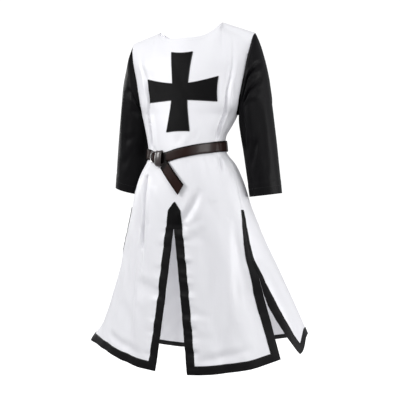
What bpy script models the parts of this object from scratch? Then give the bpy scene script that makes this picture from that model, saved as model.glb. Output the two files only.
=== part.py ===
"""Medieval surcoat with a cross, sewn-in sleeves and a ring belt, filled out as it hangs when worn.

Metres, +Z up. The front faces -Y and the wearer's left is +X. The origin lies on the line of
the shoulders, level with the points where the neckline meets the shoulder seams.

The body is one smooth surface, body_surface(theta, level). theta is the angle round the body
from the centre front, positive towards the wearer's left, and level is the height of a cross
thread before the hem's swing. Every panel is a wall on that surface, and what is sewn to a
panel is made from the panel's points, moved out.
"""

import math

import bpy
import numpy as np
from mathutils import Vector

COLLECTION = "medieval_surcoat"

WALL = 0.0015  # cloth
TRIM = 0.0010  # folded trim cloth
APPLIQUE = 0.0013  # cross and patch
SEAM = 0.0003  # space between pieces sewn edge to edge
LIFT = 0.0005  # space between layers
BAND = 0.027  # trim's width on the outside
TURNED_SHARE = 0.55  # of that width, turned to the inside

UNDERARM = -0.290
SHOULDER = -0.030
HEM = -1.112
LEVEL_BELOW = -0.60  # cross threads above this are level
SLIT_APEX = -0.6475
SLIT_START = -0.6515
SLIT_HALF_GAP = 0.0018  # at the head of the slit, room for the trim's fold
SLIT_HALF_SPREAD = 0.0545  # added by the hem
SLIT_DRIFT = 0.0045  # towards the wearer's left, by the hem
SIDE_SLIT_TOP = -0.588
SIDE_SLIT_START = -0.596
SIDE_SLIT_GAP = 0.0017  # each side's share, room for the trim's fold

NECK_FRONT = (-0.075, -0.040)  # y, z
NECK_BACK = (0.038, -0.036)
NECK_POINT = {1: (0.106, 0.008), -1: (0.117, -0.008)}  # x, z for the wearer's left and right
SHOULDER_POINT = {1: (0.218, -0.035), -1: (0.218, -0.036)}
TILT = 0.04  # the wearer's left shoulder sits higher

# Round the body: half-width and how much less it is on the wearer's right, front and back at the
# centre lines, and the line of the sides
BODY = {
    "level": (-1.112, -0.980, -0.860, -0.740, -0.652, -0.588, -0.500, -0.460, -0.430, -0.378, -0.335, -0.290),
    "side_x": (0.374, 0.328, 0.285, 0.2455, 0.222, 0.2045, 0.177, 0.158, 0.135, 0.1315, 0.148, 0.165),
    "right_in": (0.003, 0.007, 0.004, 0.001, 0.003, 0.003, 0.001, 0.000, -0.003, -0.003, 0.000, 0.000),
    "front_y": (-0.205, -0.192, -0.181, -0.173, -0.168, -0.165, -0.158, -0.1525, -0.148, -0.143, -0.137, -0.1285),
    "back_y": (0.335, 0.303, 0.256, 0.203, 0.1655, 0.135, 0.093, 0.072, 0.055, 0.047, 0.060, 0.078),
    "middle_y": (0.050, 0.045, 0.027, 0.004, -0.012, -0.026, -0.041, -0.047, -0.053, -0.056, -0.047, -0.037),
}

# The bodice above the underarm: armhole and centre line of each row, and how round the row is
FRONT_ROWS = {
    "level": (-0.262, -0.215, -0.165, -0.105),
    "arm_x": (0.178, 0.188, 0.198, 0.208),
    "arm_y": (-0.060, -0.066, -0.062, -0.046),
    "arm_z": (-0.264, -0.222, -0.172, -0.100),
    "centre_y": (-0.124, -0.117, -0.1105, -0.099),
    "centre_z": (-0.262, -0.215, -0.165, -0.105),
    "round": (84, 76, 66, 60),
    "right_in": (0.014, 0.018, 0.018, 0.007),  # the wearer's right armhole sits this much closer in
}
BACK_ROWS = {
    "level": (-0.262, -0.215, -0.165, -0.105),
    "arm_x": (0.176, 0.184, 0.192, 0.205),
    "arm_y": (0.004, 0.032, 0.046, 0.043),
    "arm_z": (-0.262, -0.220, -0.168, -0.098),
    "centre_y": (0.082, 0.087, 0.088, 0.074),
    "centre_z": (-0.262, -0.215, -0.165, -0.100),
    "round": (86, 78, 68, 60),
    "right_in": (0.008, 0.010, 0.009, 0.005),
}

# Height of the hem round the skirt
HEM_LINE = {
    "theta": (-180, -150, -120, -92, -70, -45, -20, 0, 45, 62, 78, 92, 105, 140, 180),
    "z": (
        -1.125, -1.132, -1.097, -1.058, -1.061, -1.074, -1.100, -1.112, -1.087, -1.066, -1.056, -1.014,
        -1.016, -1.066, -1.125,
    ),
}

# Where the side seams and the front's slit edges run, in degrees from the centre front
EDGES = {
    "level": (-1.112, -1.000, -0.930, -0.820, -0.668, -0.588, -0.500, -0.368, -0.290),
    "left": (61.3, 61.7, 62.0, 63.0, 67.5, 72.0, 78.0, 85.0, 88.0),
    "right": (85.0, 84.0, 83.0, 80.5, 76.0, 73.0, 78.0, 85.0, 88.0),
}

# How far the back's slit edges open away from the front's, in degrees
OPENING = {
    "level": (-1.112, -1.040, -0.980, -0.930, -0.880),
    "left": (15.2, 7.9, 3.5, 0.9, 0.0),
    "right": (11.0, 5.5, 2.2, 0.5, 0.0),
}

# Width of the trim along the side slits: it turns under towards the head of the slit
SIDE_BAND = {
    "level": (-1.112, -0.930, -0.880, -0.850, -0.740, -0.660, -0.596, -0.560, -0.460, -0.290),
    "front": (0.027, 0.027, 0.025, 0.022, 0.016, 0.010, 0.004, 0.008, 0.018, 0.018),
    "back": (0.027, 0.027, 0.021, 0.013, 0.007, 0.005, 0.004, 0.008, 0.018, 0.018),
}

# Soft folds: a ridge where the depth is positive, a trough where it is negative. A fold runs
# from its top to its low end, and keeps the share "end" of its depth there.
FOLD_COLUMNS = ("top_theta", "top_level", "low_theta", "low_level", "half_width", "depth", "end")
FOLDS = (
    # right front of the skirt
    (-45, -0.47, -26, -1.112, 0.016, -0.009, 0.45),
    (-34, -0.47, -17, -1.112, 0.024, 0.006, 0.7),
    (-60, -0.66, -46, -1.112, 0.022, -0.004, 0.8),
    # left front of the skirt
    (24, -0.60, 29, -1.112, 0.022, -0.006, 0.8),
    (36, -0.56, 41, -1.112, 0.024, 0.006, 0.7),
    (55, -0.60, 51, -1.112, 0.022, -0.004, 0.6),
    # beside the cross, from the shoulders to the belt
    (60, -0.08, 61, -0.37, 0.011, -0.005, 0.3),
    (-55, -0.16, -57, -0.37, 0.011, -0.004, 0.3),
    (118, -0.09, 112, -0.37, 0.012, -0.005, 0.3),
    (-120, -0.09, -112, -0.37, 0.012, -0.005, 0.3),
    # the back flap's turn at the left slit, and the back of the skirt
    (66, -0.76, 78, -1.112, 0.040, 0.021, 0.5),
    # the right side edge turns in towards the hem, and the corner before it flares
    (-84, -0.74, -90, -1.112, 0.046, -0.021, 1.0),
    (-71, -1.04, -71, -1.34, 0.035, 0.018, 1.0),
    (150, -0.47, 153, -1.112, 0.030, -0.011, 0.9),
    (-150, -0.47, -153, -1.112, 0.030, -0.011, 0.9),
    (176, -0.50, 178, -1.112, 0.034, 0.008, 0.9),
    (128, -0.50, 133, -1.112, 0.028, 0.007, 0.9),
    (-128, -0.50, -134, -1.112, 0.028, 0.007, 0.9),
)

# Left sleeve below the armhole: outer and inner line, half-depth and middle, from the top down
SLEEVE = {
    "share": (0.10, 0.25, 0.42, 0.60, 0.80, 1.00),
    "outer_x": (0.2290, 0.2445, 0.2605, 0.2705, 0.2845, 0.2980),
    "outer_z": (-0.060, -0.108, -0.176, -0.262, -0.393, -0.5445),
    "inner_x": (0.1725, 0.1740, 0.1755, 0.1770, 0.1800, 0.1945),
    "inner_z": (-0.2945, -0.305, -0.322, -0.350, -0.425, -0.5575),
    "half_depth": (0.060, 0.065, 0.067, 0.067, 0.065, 0.062),
    "middle_y": (-0.009, -0.006, -0.002, 0.003, 0.012, 0.022),
    "right_in": (0.002, 0.005, 0.008, 0.009, 0.008, 0.006),
}
SLEEVE_RINGS = 10

# The cross, measured along the cloth from its centre. Each arm's end is cut on a small skew.
CROSS_CENTRE_Z = -0.2175
CROSS_ROOT = 0.027  # half-width where the arms meet
CROSS_ARMS = (  # right, up, reach, half-width at the end, skew, sideways
    (0, 1, 0.1288, 0.038, -0.018, 0.002),
    (0, -1, 0.1288, 0.0405, 0.028, 0.001),
    (1, 0, 0.126, 0.0400, 0.0, 0.0),
    (-1, 0, 0.124, 0.0390, 0.0, 0.0),
)
CROSS_RISE = 0.0057  # of the side arms' ends
CROSS_TILT = 0.012
CROSS_END_HOLLOW = 0.003

# The pentagon patch
PATCH_BOTTOM = -0.6507
PATCH_SHOULDER = -0.597
PATCH_TIP = -0.568
PATCH_HALF_BOTTOM = 0.0268
PATCH_SHIFT = 0.0012
PATCH_HALF_SHOULDER = 0.0215

# The belt: it dips towards its knot, and the cloth under it is drawn along
BELT_LEVEL = -0.404
BELT_LINE = {
    "theta": (-180, -90, -60, -45, -27, -14, 0, 25, 48, 90, 180),
    "z": (-0.399, -0.4155, -0.418, -0.422, -0.432, -0.4265, -0.4165, -0.404, -0.397, -0.392, -0.399),
}
CINCH = (-0.430, -0.378)  # between these rows the cloth under the belt runs straight
STRAP_HALF = 0.0173
STRAP = 0.0028
STRAP_FROM = -21.2  # degrees
STRAP_TO = 326.6
RING_THETA = -36.5
RING_RADIUS = 0.018
RING_WIRE = 0.002
RING_LIFT = 0.0054
KNOT_THETA = -27.0
KNOT_HALF_ANGLE = 4.9
KNOT_PATH = {
    "up": (-0.0175, 0.0, 0.0175, 0.0225, 0.0243, 0.0218, 0.0160, 0.0, -0.0160, -0.0218, -0.0243, -0.0225),
    "out": (0.0104, 0.0114, 0.0104, 0.0086, 0.0058, 0.0030, 0.0018, 0.0016, 0.0018, 0.0030, 0.0058, 0.0086),
}
TAIL_TOP = (-0.0495, -0.4405)  # x, z of the centre line
TAIL_LOW = (0.0234, -0.531)
TAIL_SLANT = 0.007  # half the difference between its long and short edge
TAIL_START_SLANT = 0.021  # it comes out sideways from under the knot
TAIL_LIFT_TOP = 0.0050
TAIL_LIFT_LOW = 0.0090

COLOURS = {  # base colour, metallic, roughness
    "white_cloth": ((0.86, 0.86, 0.89, 1.0), 0.0, 0.55),
    "black_cloth": ((0.012, 0.011, 0.013, 1.0), 0.0, 0.50),
    "brown_leather": ((0.030, 0.014, 0.010, 1.0), 0.0, 0.35),
    "bright_metal": ((0.60, 0.59, 0.57, 1.0), 1.0, 0.25),
}


def smooth(x, knots, values):
    """A smooth curve through the knots: cubic Hermite pieces whose slopes come from the neighbours."""
    knots, values = np.asarray(knots, float), np.asarray(values, float)
    rise = np.diff(values) / np.diff(knots)
    width = np.diff(knots)
    slope = np.empty(len(knots))
    slope[0], slope[-1] = rise[0], rise[-1]
    slope[1:-1] = (rise[:-1] * width[1:] + rise[1:] * width[:-1]) / (width[1:] + width[:-1])
    x = np.clip(np.asarray(x, float), knots[0], knots[-1])
    i = np.clip(np.searchsorted(knots, x, side="right") - 1, 0, len(knots) - 2)
    h = knots[i + 1] - knots[i]
    u = (x - knots[i]) / h
    return (
        (2 * u**3 - 3 * u**2 + 1) * values[i]
        + (u**3 - 2 * u**2 + u) * h * slope[i]
        + (3 * u**2 - 2 * u**3) * values[i + 1]
        + (u**3 - u**2) * h * slope[i + 1]
    )


def step(u):
    """Rises smoothly from 0 to 1."""
    u = np.clip(u, 0.0, 1.0)
    return u * u * (3 - 2 * u)


def unit(v):
    return v / np.maximum(np.linalg.norm(v, axis=-1, keepdims=True), 1e-12)


def wrapped(theta):
    """The same angle between half a turn back and half a turn on."""
    return (np.asarray(theta) + math.pi) % (2 * math.pi) - math.pi


def edge_angle(level, column):
    return np.radians(smooth(level, EDGES["level"], EDGES[column]))


def body(level, column):
    return smooth(level, BODY["level"], BODY[column])


def around(theta, level):
    """Metres along the cloth for a radian of theta."""
    depth = body(level, "middle_y") - body(level, "front_y")
    return np.hypot(body(level, "side_x") * np.cos(theta), depth * np.sin(theta))


def hem_swing(theta, level):
    """How far a cross thread rises above its level: all of the hem line's swing at the hem, none at the hips."""
    share = np.clip((LEVEL_BELOW - level) / (LEVEL_BELOW - HEM), 0, 1)
    return share * (smooth(np.degrees(wrapped(theta)), HEM_LINE["theta"], HEM_LINE["z"]) - HEM)


def belt_swing(theta, level):
    """How far a cross thread is drawn up or down with the belt, fading above and below it."""
    above = step((UNDERARM - level) / (UNDERARM - CINCH[1]))
    below = step((level - LEVEL_BELOW) / (CINCH[0] - LEVEL_BELOW))
    line = smooth(np.degrees(wrapped(theta)), BELT_LINE["theta"], BELT_LINE["z"])
    return np.minimum(above, below) * (line - BELT_LEVEL)


def ring(theta, level):
    """A ring round the body below the underarm: half ellipses in front and behind."""
    middle, cos = body(level, "middle_y"), np.cos(theta)
    depth = np.where(cos > 0, middle - body(level, "front_y"), body(level, "back_y") - middle)
    side_x = body(level, "side_x") - np.where(np.sin(theta) < 0, body(level, "right_in"), 0)
    x = side_x * np.sin(theta)
    z = level + hem_swing(theta, level) + belt_swing(theta, level)
    return np.stack([x, middle - depth * cos, z], axis=-1)


def bodice_row(rows, k, t):
    """One row from the centre line to the armhole, t from -1 to 1 across the panel."""
    bend = math.radians(rows["round"][k])
    across = np.sin(np.abs(t) * bend) / math.sin(bend)
    back = (1 - np.cos(t * bend)) / (1 - math.cos(bend))
    centre_y, centre_z = rows["centre_y"][k], rows["centre_z"][k]
    arm_x = rows["arm_x"][k] - np.where(t < 0, rows["right_in"][k], 0)
    x = np.sign(t) * arm_x * across
    y = centre_y + (rows["arm_y"][k] - centre_y) * back
    return np.stack([x, y, centre_z + (rows["arm_z"][k] - centre_z) * t * t], axis=-1)


def top_row(front, t):
    """The neckline, an ellipse in plan whose ends turn up, then the straight shoulder seam."""
    neck_y, neck_z = NECK_FRONT if front else NECK_BACK
    seam_y = -SEAM / 2 if front else SEAM / 2
    share = NECK_SHARE[front]
    u = np.clip(np.abs(t) / share, 0, 1)
    v = np.clip((np.abs(t) - share) / (1 - share), 0, None)
    sine = np.sin(u * math.pi / 2)
    left = (t >= 0)[:, None]
    point_x, point_z = np.where(left, NECK_POINT[1], NECK_POINT[-1]).T
    end_x, end_z = np.where(left, SHOULDER_POINT[1], SHOULDER_POINT[-1]).T
    x = np.sign(t) * (point_x * sine + (end_x - point_x) * v)
    y = seam_y + (neck_y - seam_y) * np.cos(u * math.pi / 2)
    z = neck_z * (1 - sine**4) + point_z * sine**4 + (end_z - point_z) * v
    return np.stack([x, y, z], axis=-1)


NECK_SHARE = {True: 0.55, False: 0.50}


def bodice(theta, level, front):
    """The panel above the underarm: each column is a smooth curve through the rows."""
    edge = edge_angle(UNDERARM, "left")
    if front:
        rows, t = FRONT_ROWS, theta / edge
    else:
        rows, t = BACK_ROWS, np.sign(theta) * (math.pi - np.abs(theta)) / (math.pi - edge)
    knots = np.array((BODY["level"][-2], UNDERARM) + rows["level"] + (SHOULDER,))
    points = [ring(theta, np.full_like(theta, knots[0])), ring(theta, np.full_like(theta, knots[1]))]
    points += [bodice_row(rows, k, t) for k in range(len(rows["level"]))]
    points = np.array(points + [top_row(front, t)])
    width = np.diff(knots)[:, None, None]
    rise = np.diff(points, axis=0) / width
    slope = np.empty_like(points)
    slope[0] = rise[0]
    slope[1:-1] = (rise[:-1] * width[1:] + rise[1:] * width[:-1]) / (width[1:] + width[:-1])
    # Over the shoulder the cloth comes to the seam level; at the neckline it just ends.
    seam = step((np.abs(t) / NECK_SHARE[front] - 0.75) / 0.25)[:, None]
    slope[-1] = rise[-1] * (1 + seam * np.array([-0.6, 0.5, -0.95]))
    i = np.clip(np.searchsorted(knots, level, side="right") - 1, 0, len(knots) - 2)
    column = np.arange(len(theta))
    h = (knots[i + 1] - knots[i])[:, None]
    u = (level - knots[i])[:, None] / h
    return (
        (2 * u**3 - 3 * u**2 + 1) * points[i, column]
        + (u**3 - 2 * u**2 + u) * h * slope[i, column]
        + (3 * u**2 - 2 * u**3) * points[i + 1, column]
        + (u**3 - u**2) * h * slope[i + 1, column]
    )


def fold_height(theta, level):
    """The sum of the folds at each point: a soft bell across each fold, faded in and out along it."""
    height = np.zeros_like(theta)
    for row in FOLDS:
        fold = dict(zip(FOLD_COLUMNS, row))
        along = (fold["top_level"] - level) / (fold["top_level"] - fold["low_level"])
        centre = np.radians(fold["top_theta"] + (fold["low_theta"] - fold["top_theta"]) * np.clip(along, 0, 1))
        apart = wrapped(theta - centre) * np.maximum(around(centre, np.minimum(level, UNDERARM)), 0.09)
        strength = step(along / 0.25) * (1 - (1 - fold["end"]) * step((along - 0.6) / 0.4))
        strength = np.where(along > 1, fold["end"] * step(1 - (along - 1) / 0.12), strength)
        height += fold["depth"] * strength * np.exp(-((apart / fold["half_width"]) ** 2))
    return height


def body_surface(theta, level, front):
    """The outside of the cloth at arrays of angle and level."""
    shape = np.shape(theta)
    theta, level = np.ravel(theta).astype(float), np.ravel(level).astype(float)
    low, high = level <= UNDERARM, level > UNDERARM
    points = np.empty((len(theta), 3))
    points[low] = ring(theta[low], level[low])
    points[high] = bodice(theta[high], level[high], front)
    facing = unit(np.stack([np.sin(theta) / 1.3, -np.cos(theta), np.zeros_like(theta)], axis=-1))
    points += facing * fold_height(theta, level)[:, None]
    points[:, 2] += TILT * points[:, 0] * step((points[:, 2] + 0.30) / 0.25)
    return points.reshape(shape + (3,))


def body_normal(theta, level, front):
    """The outward direction, from small steps along the surface."""
    turn, rise = 0.01, 0.002
    theta, level = np.asarray(theta, float), np.asarray(level, float)
    above, below = np.minimum(level + rise, SHOULDER), np.maximum(level - rise, HEM)
    across = body_surface(theta + turn, level, front) - body_surface(theta - turn, level, front)
    up = body_surface(theta, above, front) - body_surface(theta, below, front)
    return unit(np.cross(across, up))


# ---- walls ----


def grid_quads(rows, columns, closed=False):
    """Quads of a grid of points stored row by row."""
    index = np.arange(rows * columns).reshape(rows, columns)
    if closed:
        index = np.concatenate([index, index[:, :1]], axis=1)
    corners = (index[:-1, :-1], index[:-1, 1:], index[1:, 1:], index[1:, :-1])
    return np.stack([corner.ravel() for corner in corners], axis=-1)


def wall(name, outer, inner, quads, material):
    """A closed solid between an outer and an inner surface with the same quads.

    Points that coincide are joined first. Each quad is two triangles that meet on its corners
    0 and 2, an edge that only one triangle uses gets a rim, and the faces are turned outwards.
    """
    outer, inner = np.asarray(outer).reshape(-1, 3), np.asarray(inner).reshape(-1, 3)
    key = np.round(outer, 6) + 0.0
    _, first, joined = np.unique(key, axis=0, return_index=True, return_inverse=True)
    outer, inner, quads = outer[first], inner[first], joined.reshape(-1)[quads]
    count = len(outer)
    faces, uses = [], {}
    for a, b, c, d in quads.tolist():
        faces += [face for face in ((a, b, c), (a, c, d)) if len(set(face)) == 3]
    for face in faces:
        for i in range(3):
            uses[face[i - 1], face[i]] = face
    rims = [(b, a, a + count, b + count) for a, b in uses if (b, a) not in uses]
    inside = [[p + count for p in reversed(face)] for face in faces]
    mesh = bpy.data.meshes.new(name)
    mesh.from_pydata(np.concatenate([outer, inner]).tolist(), [], faces + inside + rims)
    mesh.validate()
    mesh.calc_loop_triangles()
    corners = np.array([[mesh.vertices[v].co for v in t.vertices] for t in mesh.loop_triangles])
    if np.linalg.det(corners).sum() < 0:
        mesh.flip_normals()
    mesh.shade_smooth()
    mesh.set_sharp_from_angle(angle=math.radians(40))
    return place(bpy.data.objects.new(name, mesh), material)


def place(obj, material):
    obj.data.materials.append(material)
    if not obj.users_collection:
        bpy.data.collections[COLLECTION].objects.link(obj)
    return obj


def start_scene():
    for obj in list(bpy.data.objects):
        bpy.data.objects.remove(obj, do_unlink=True)
    bpy.context.scene.collection.children.link(bpy.data.collections.new(COLLECTION))


def make_material(name):
    colour, metallic, roughness = COLOURS[name]
    material = bpy.data.materials.new(name)
    material.use_nodes = True
    shader = material.node_tree.nodes["Principled BSDF"]
    shader.inputs["Base Color"].default_value = colour
    shader.inputs["Metallic"].default_value = metallic
    shader.inputs["Roughness"].default_value = roughness
    return material


# ---- panels ----

BODICE_ROWS = 8
SKIRT_LEVELS = (
    HEM, HEM + TURNED_SHARE * BAND, HEM + BAND, -1.040, -0.980, -0.920, -0.860, -0.800, -0.745, -0.695,
    SLIT_START, SLIT_APEX, -0.620, SIDE_SLIT_START, SIDE_SLIT_TOP, -0.545, -0.500, -0.465,
    CINCH[0], CINCH[1], -0.345, -0.315,
)
LEVELS = np.array(SKIRT_LEVELS + tuple(np.linspace(UNDERARM, SHOULDER, BODICE_ROWS + 1)))
UNDERARM_ROW = len(SKIRT_LEVELS)
FRONT_COLUMNS = 13
FRONT_NECK_COLUMN = 7
BACK_COLUMNS = 14
BACK_NECK_COLUMN = 7


def side_edge(level, wearer_side, front):
    """The angle of a panel's side edge, drawn back by half a seam's gap or by room for the trim."""
    column = "left" if wearer_side > 0 else "right"
    ring_level = np.minimum(level, UNDERARM)
    edge = edge_angle(ring_level, column)
    if not front:
        edge = edge + np.radians(np.interp(ring_level, OPENING["level"], OPENING[column]))
    gap = np.where(level <= SIDE_SLIT_START + 1e-6, SIDE_SLIT_GAP, SEAM / 2)
    return edge + (-1 if front else 1) * gap / around(edge, ring_level)


def front_angles(level, wearer_side):
    """Angles of the front panel's columns on one half, from the centre or slit to the side."""
    ring_level = min(level, UNDERARM)
    edge = float(side_edge(level, wearer_side, True))
    spread = np.clip((SLIT_APEX - level) / (SLIT_APEX - HEM), 0, 1)
    slit = (SLIT_HALF_GAP + SLIT_HALF_SPREAD * spread) if level < SLIT_APEX - 1e-6 else 0.0
    slit += SLIT_DRIFT * spread * wearer_side
    at_centre, at_edge = float(around(0.0, ring_level)), float(around(edge, ring_level))
    trim = float(np.interp(ring_level, SIDE_BAND["level"], SIDE_BAND["front"])) / at_edge
    start, neck = (slit + BAND) / at_centre, NECK_SHARE[True] * edge
    last = FRONT_COLUMNS - 2
    angles = [slit / at_centre, (slit + BAND * TURNED_SHARE) / at_centre]
    angles += list(np.linspace(start, neck, FRONT_NECK_COLUMN - 1))
    angles += list(np.linspace(neck, edge - trim, last - FRONT_NECK_COLUMN + 1))[1:]
    return wearer_side * np.array(angles + [edge - trim * TURNED_SHARE, edge])


def back_angles(level, wearer_side):
    """Angles of the back panel's columns on one half, from the centre back to the side."""
    ring_level = min(level, UNDERARM)
    edge = float(side_edge(level, wearer_side, False))
    trim = float(np.interp(ring_level, SIDE_BAND["level"], SIDE_BAND["back"])) / float(around(edge, ring_level))
    neck = math.pi - NECK_SHARE[False] * (math.pi - edge)
    last = BACK_COLUMNS - 2
    angles = list(np.linspace(math.pi, neck, BACK_NECK_COLUMN + 1))
    angles += list(np.linspace(neck, edge + trim, last - BACK_NECK_COLUMN + 1))[1:]
    return wearer_side * np.array(angles + [edge + trim * TURNED_SHARE, edge])


def half_panel(wearer_side, front):
    """Points and outward directions of one half of a panel, row by row from the hem."""
    angles = front_angles if front else back_angles
    theta = np.array([angles(level, wearer_side) for level in LEVELS])
    level = np.repeat(LEVELS[:, None], theta.shape[1], axis=1)
    return body_surface(theta, level, front), body_normal(theta, level, front)


def panel_halves():
    halves = {}
    for front in (True, False):
        for wearer_side in (-1, 1):
            points, normals = half_panel(wearer_side, front)
            halves[front, wearer_side] = {"points": points, "normals": normals}
    return halves


def build_panel(name, halves, front, material):
    """Both halves joined along the centre line, which is open below the head of the front slit."""
    outer, inner, quads, start = [], [], [], 0
    for wearer_side in (-1, 1):
        half = halves[front, wearer_side]
        points, normals = half["points"], half["normals"]
        outer.append(points.reshape(-1, 3))
        inner.append((points - WALL * normals).reshape(-1, 3))
        faces = grid_quads(*points.shape[:2]) + start
        quads.append(faces if (wearer_side > 0) == front else faces[:, [0, 3, 2, 1]])
        start += len(outer[-1])
    return wall(name, np.concatenate(outer), np.concatenate(inner), np.concatenate(quads), material)


# ---- sleeves ----


def sleeve_grid(halves, wearer_side):
    """Rings from the armhole to the cuff: row 0 follows the armhole's edge, up the front and down the back."""
    front_edge = halves[True, wearer_side]["points"][UNDERARM_ROW:, -1]
    back_edge = halves[False, wearer_side]["points"][UNDERARM_ROW:, -1]
    armhole = np.concatenate([front_edge, back_edge[-2:0:-1]])
    turn = 2 * math.pi * np.arange(len(armhole)) / len(armhole)
    share = np.linspace(SLEEVE["share"][0], 1, SLEEVE_RINGS)[:, None]
    at = {name: smooth(share, SLEEVE["share"], SLEEVE[name]) for name in SLEEVE}
    swing = np.cos(turn)[None, :]
    x = (at["outer_x"] + at["inner_x"]) / 2 + (at["inner_x"] - at["outer_x"]) / 2 * swing
    x -= at["right_in"] if wearer_side < 0 else 0
    y = at["middle_y"] - at["half_depth"] * np.sin(turn)[None, :]
    z = (at["outer_z"] + at["inner_z"]) / 2 + (at["inner_z"] - at["outer_z"]) / 2 * swing
    rings = np.stack([x * wearer_side, y, z], axis=-1)
    rings[..., 2] += TILT * rings[..., 0] * step((rings[..., 2] + 0.30) / 0.25)
    return np.concatenate([armhole[None], rings])


def grid_normals(points, closed):
    """Outward directions of a tube's grid, from its neighbours."""
    if closed:
        across = np.roll(points, -1, axis=1) - np.roll(points, 1, axis=1)
    else:
        across = np.gradient(points, axis=1)
    normals = unit(np.cross(np.gradient(points, axis=0), across))
    middle = points.mean(axis=1, keepdims=True)
    inward = (normals * (points - middle)).sum(axis=(1, 2)) < 0
    normals[inward] *= -1
    return normals


def mitre_armholes(halves, sleeves):
    """The sleeve's first ring and the panels' armhole edges share the direction halfway between them."""
    rows = len(LEVELS) - UNDERARM_ROW
    for wearer_side, sleeve in sleeves.items():
        normals = grid_normals(sleeve, closed=True)
        front = halves[True, wearer_side]["normals"][UNDERARM_ROW:, -1]
        back = halves[False, wearer_side]["normals"][UNDERARM_ROW:, -1]
        beside = np.concatenate([front, back[-2:0:-1]])
        shared = unit(beside + normals[0])
        away = unit(np.cross(np.roll(sleeve[0], -1, axis=0) - np.roll(sleeve[0], 1, axis=0), shared))
        away *= np.sign((away * (sleeve[1] - sleeve[0])).sum(axis=-1, keepdims=True))
        shared /= np.maximum((shared * beside).sum(axis=-1, keepdims=True), 0.75)
        normals[0] = shared
        sleeve[0] += SEAM * 3 * away
        front[:] = shared[:rows]
        back[:] = np.concatenate([shared[:1], shared[: rows - 2 : -1]])
        sleeves[wearer_side] = {"points": sleeve, "normals": normals}


def build_sleeve(name, sleeve, material):
    points, normals = sleeve["points"], sleeve["normals"]
    quads = grid_quads(*points.shape[:2], closed=True)
    return wall(name, points, points - WALL * normals, quads, material)


# ---- trim, cross and patch ----


def trim_section(line, normals, past):
    """Outer and inner points of the folded strip across one place of the edge.

    line holds the panel's outer points at the edge, at the turned width and at the full width.
    past is the way out past the edge.
    """
    far, high, low = LIFT + TRIM, LIFT, WALL + LIFT
    edge, turned, full = line
    n_edge, n_turned, n_full = normals
    outer = [full + far * n_full, turned + far * n_turned, edge + past * far + far * n_edge]
    outer += [edge + past * far - (low + TRIM) * n_edge, turned - (low + TRIM) * n_turned]
    inner = [full + high * n_full, turned + high * n_turned, edge + past * high + high * n_edge]
    inner += [edge + past * high - low * n_edge, turned - low * n_turned]
    return outer, inner


def trim_places(columns, first_row, last_row):
    """Grid places (edge, turned, full) along one edge, the hem with mitred corners, and the other edge."""
    last = columns - 1
    slit, hem, side = [], [], []
    if first_row is not None:
        slit += [((j, 0), (j, 1), (j, 2)) for j in range(first_row, 1, -1)]
        slit += [((1, 0), (1, 1), (2, 2)), ((0, 0), (1, 1), (2, 2)), ((0, 1), (1, 1), (2, 2))]
    hem += [((0, m), (1, m), (2, m)) for m in range(2 if slit else 0, last - 1)]
    side += [((j, last - 1 + j), (1, last - 1), (2, last - 2)) for j in (0, 1)]
    side.insert(1, ((0, last), (1, last - 1), (2, last - 2)))
    side += [((j, last), (j, last - 1), (j, last - 2)) for j in range(2, last_row + 1)]
    return slit, hem, side


def strip_quads(slit, hem, side):
    """The strip's quads, with the diagonals of the panel's own quads under it and inside it."""
    quads = grid_quads(len(slit) + len(hem) + len(side), 5).reshape(-1, 4, 4)
    hem_from, hem_to = max(len(slit) - 1, 0), len(slit) + len(hem)
    turned_round = np.zeros(quads.shape[:2], bool)
    turned_round[hem_from:hem_to, :3] = True
    turned_round[:hem_from, 3] = turned_round[hem_to:, 3] = True
    quads[turned_round] = np.roll(quads[turned_round], -1, axis=-1)
    return quads.reshape(-1, 4)


def trim_strip(half, places):
    """The strip's outer and inner grid along the places."""
    points, normals = half["points"], half["normals"]
    outer, inner = [], []
    for edge, turned, full in sum(places, []):
        line = [points[place] for place in (edge, turned, full)]
        facing = [normals[place] for place in (edge, turned, full)]
        past = np.zeros(3)
        if edge[0] != turned[0]:
            past += unit(points[edge] - points[turned[0], edge[1]])
        if edge[1] != turned[1]:
            past += unit(points[edge] - points[edge[0], turned[1]])
        section = trim_section(line, facing, past)
        outer.append(section[0])
        inner.append(section[1])
    return np.array(outer), np.array(inner)


def build_trims(halves, material):
    side_row = int(np.argmin(np.abs(LEVELS - SIDE_SLIT_START)))
    slit_row = int(np.argmin(np.abs(LEVELS - SLIT_START)))
    for wearer_side, word in ((1, "left"), (-1, "right")):
        half = halves[True, wearer_side]
        places = trim_places(half["points"].shape[1], slit_row, side_row)
        outer, inner = trim_strip(half, places)
        wall("trim_front_" + word, outer, inner, strip_quads(*places), material)
    outer, inner, quads = [], [], []
    for wearer_side in (-1, 1):
        half = halves[False, wearer_side]
        places = trim_places(half["points"].shape[1], None, side_row)
        strip = trim_strip(half, places)
        faces = strip_quads(*places) + sum(grid.shape[0] * grid.shape[1] for grid in outer)
        quads.append(faces if wearer_side > 0 else faces[:, [0, 3, 2, 1]])
        outer.append(strip[0])
        inner.append(strip[1])
    outer, inner = (np.concatenate([grid.reshape(-1, 3) for grid in grids]) for grids in (outer, inner))
    wall("trim_back", outer, inner, np.concatenate(quads), material)


def spot_on_front(across, z):
    """Angle and level of spots on the front: distances along the cloth from the centre line, and heights."""
    across, z = np.ravel(across), np.ravel(z)
    turn = np.radians(np.linspace(-75, 75, 121))[None, :]
    level, theta = z.copy(), np.zeros_like(z)
    for _ in range(6):
        rows = np.broadcast_to(level[:, None], (len(level), turn.shape[1]))
        lines = body_surface(np.broadcast_to(turn, rows.shape), rows, True)
        run = np.cumsum(np.linalg.norm(np.diff(lines, axis=1), axis=2), axis=1)
        run = np.concatenate([np.zeros((len(level), 1)), run], axis=1)
        run -= run[:, run.shape[1] // 2, None]
        theta = np.array([np.interp(a, r, turn[0]) for a, r in zip(across, run)])
        level = level + z - body_surface(theta, level, True)[:, 2]
    return theta, level


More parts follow.
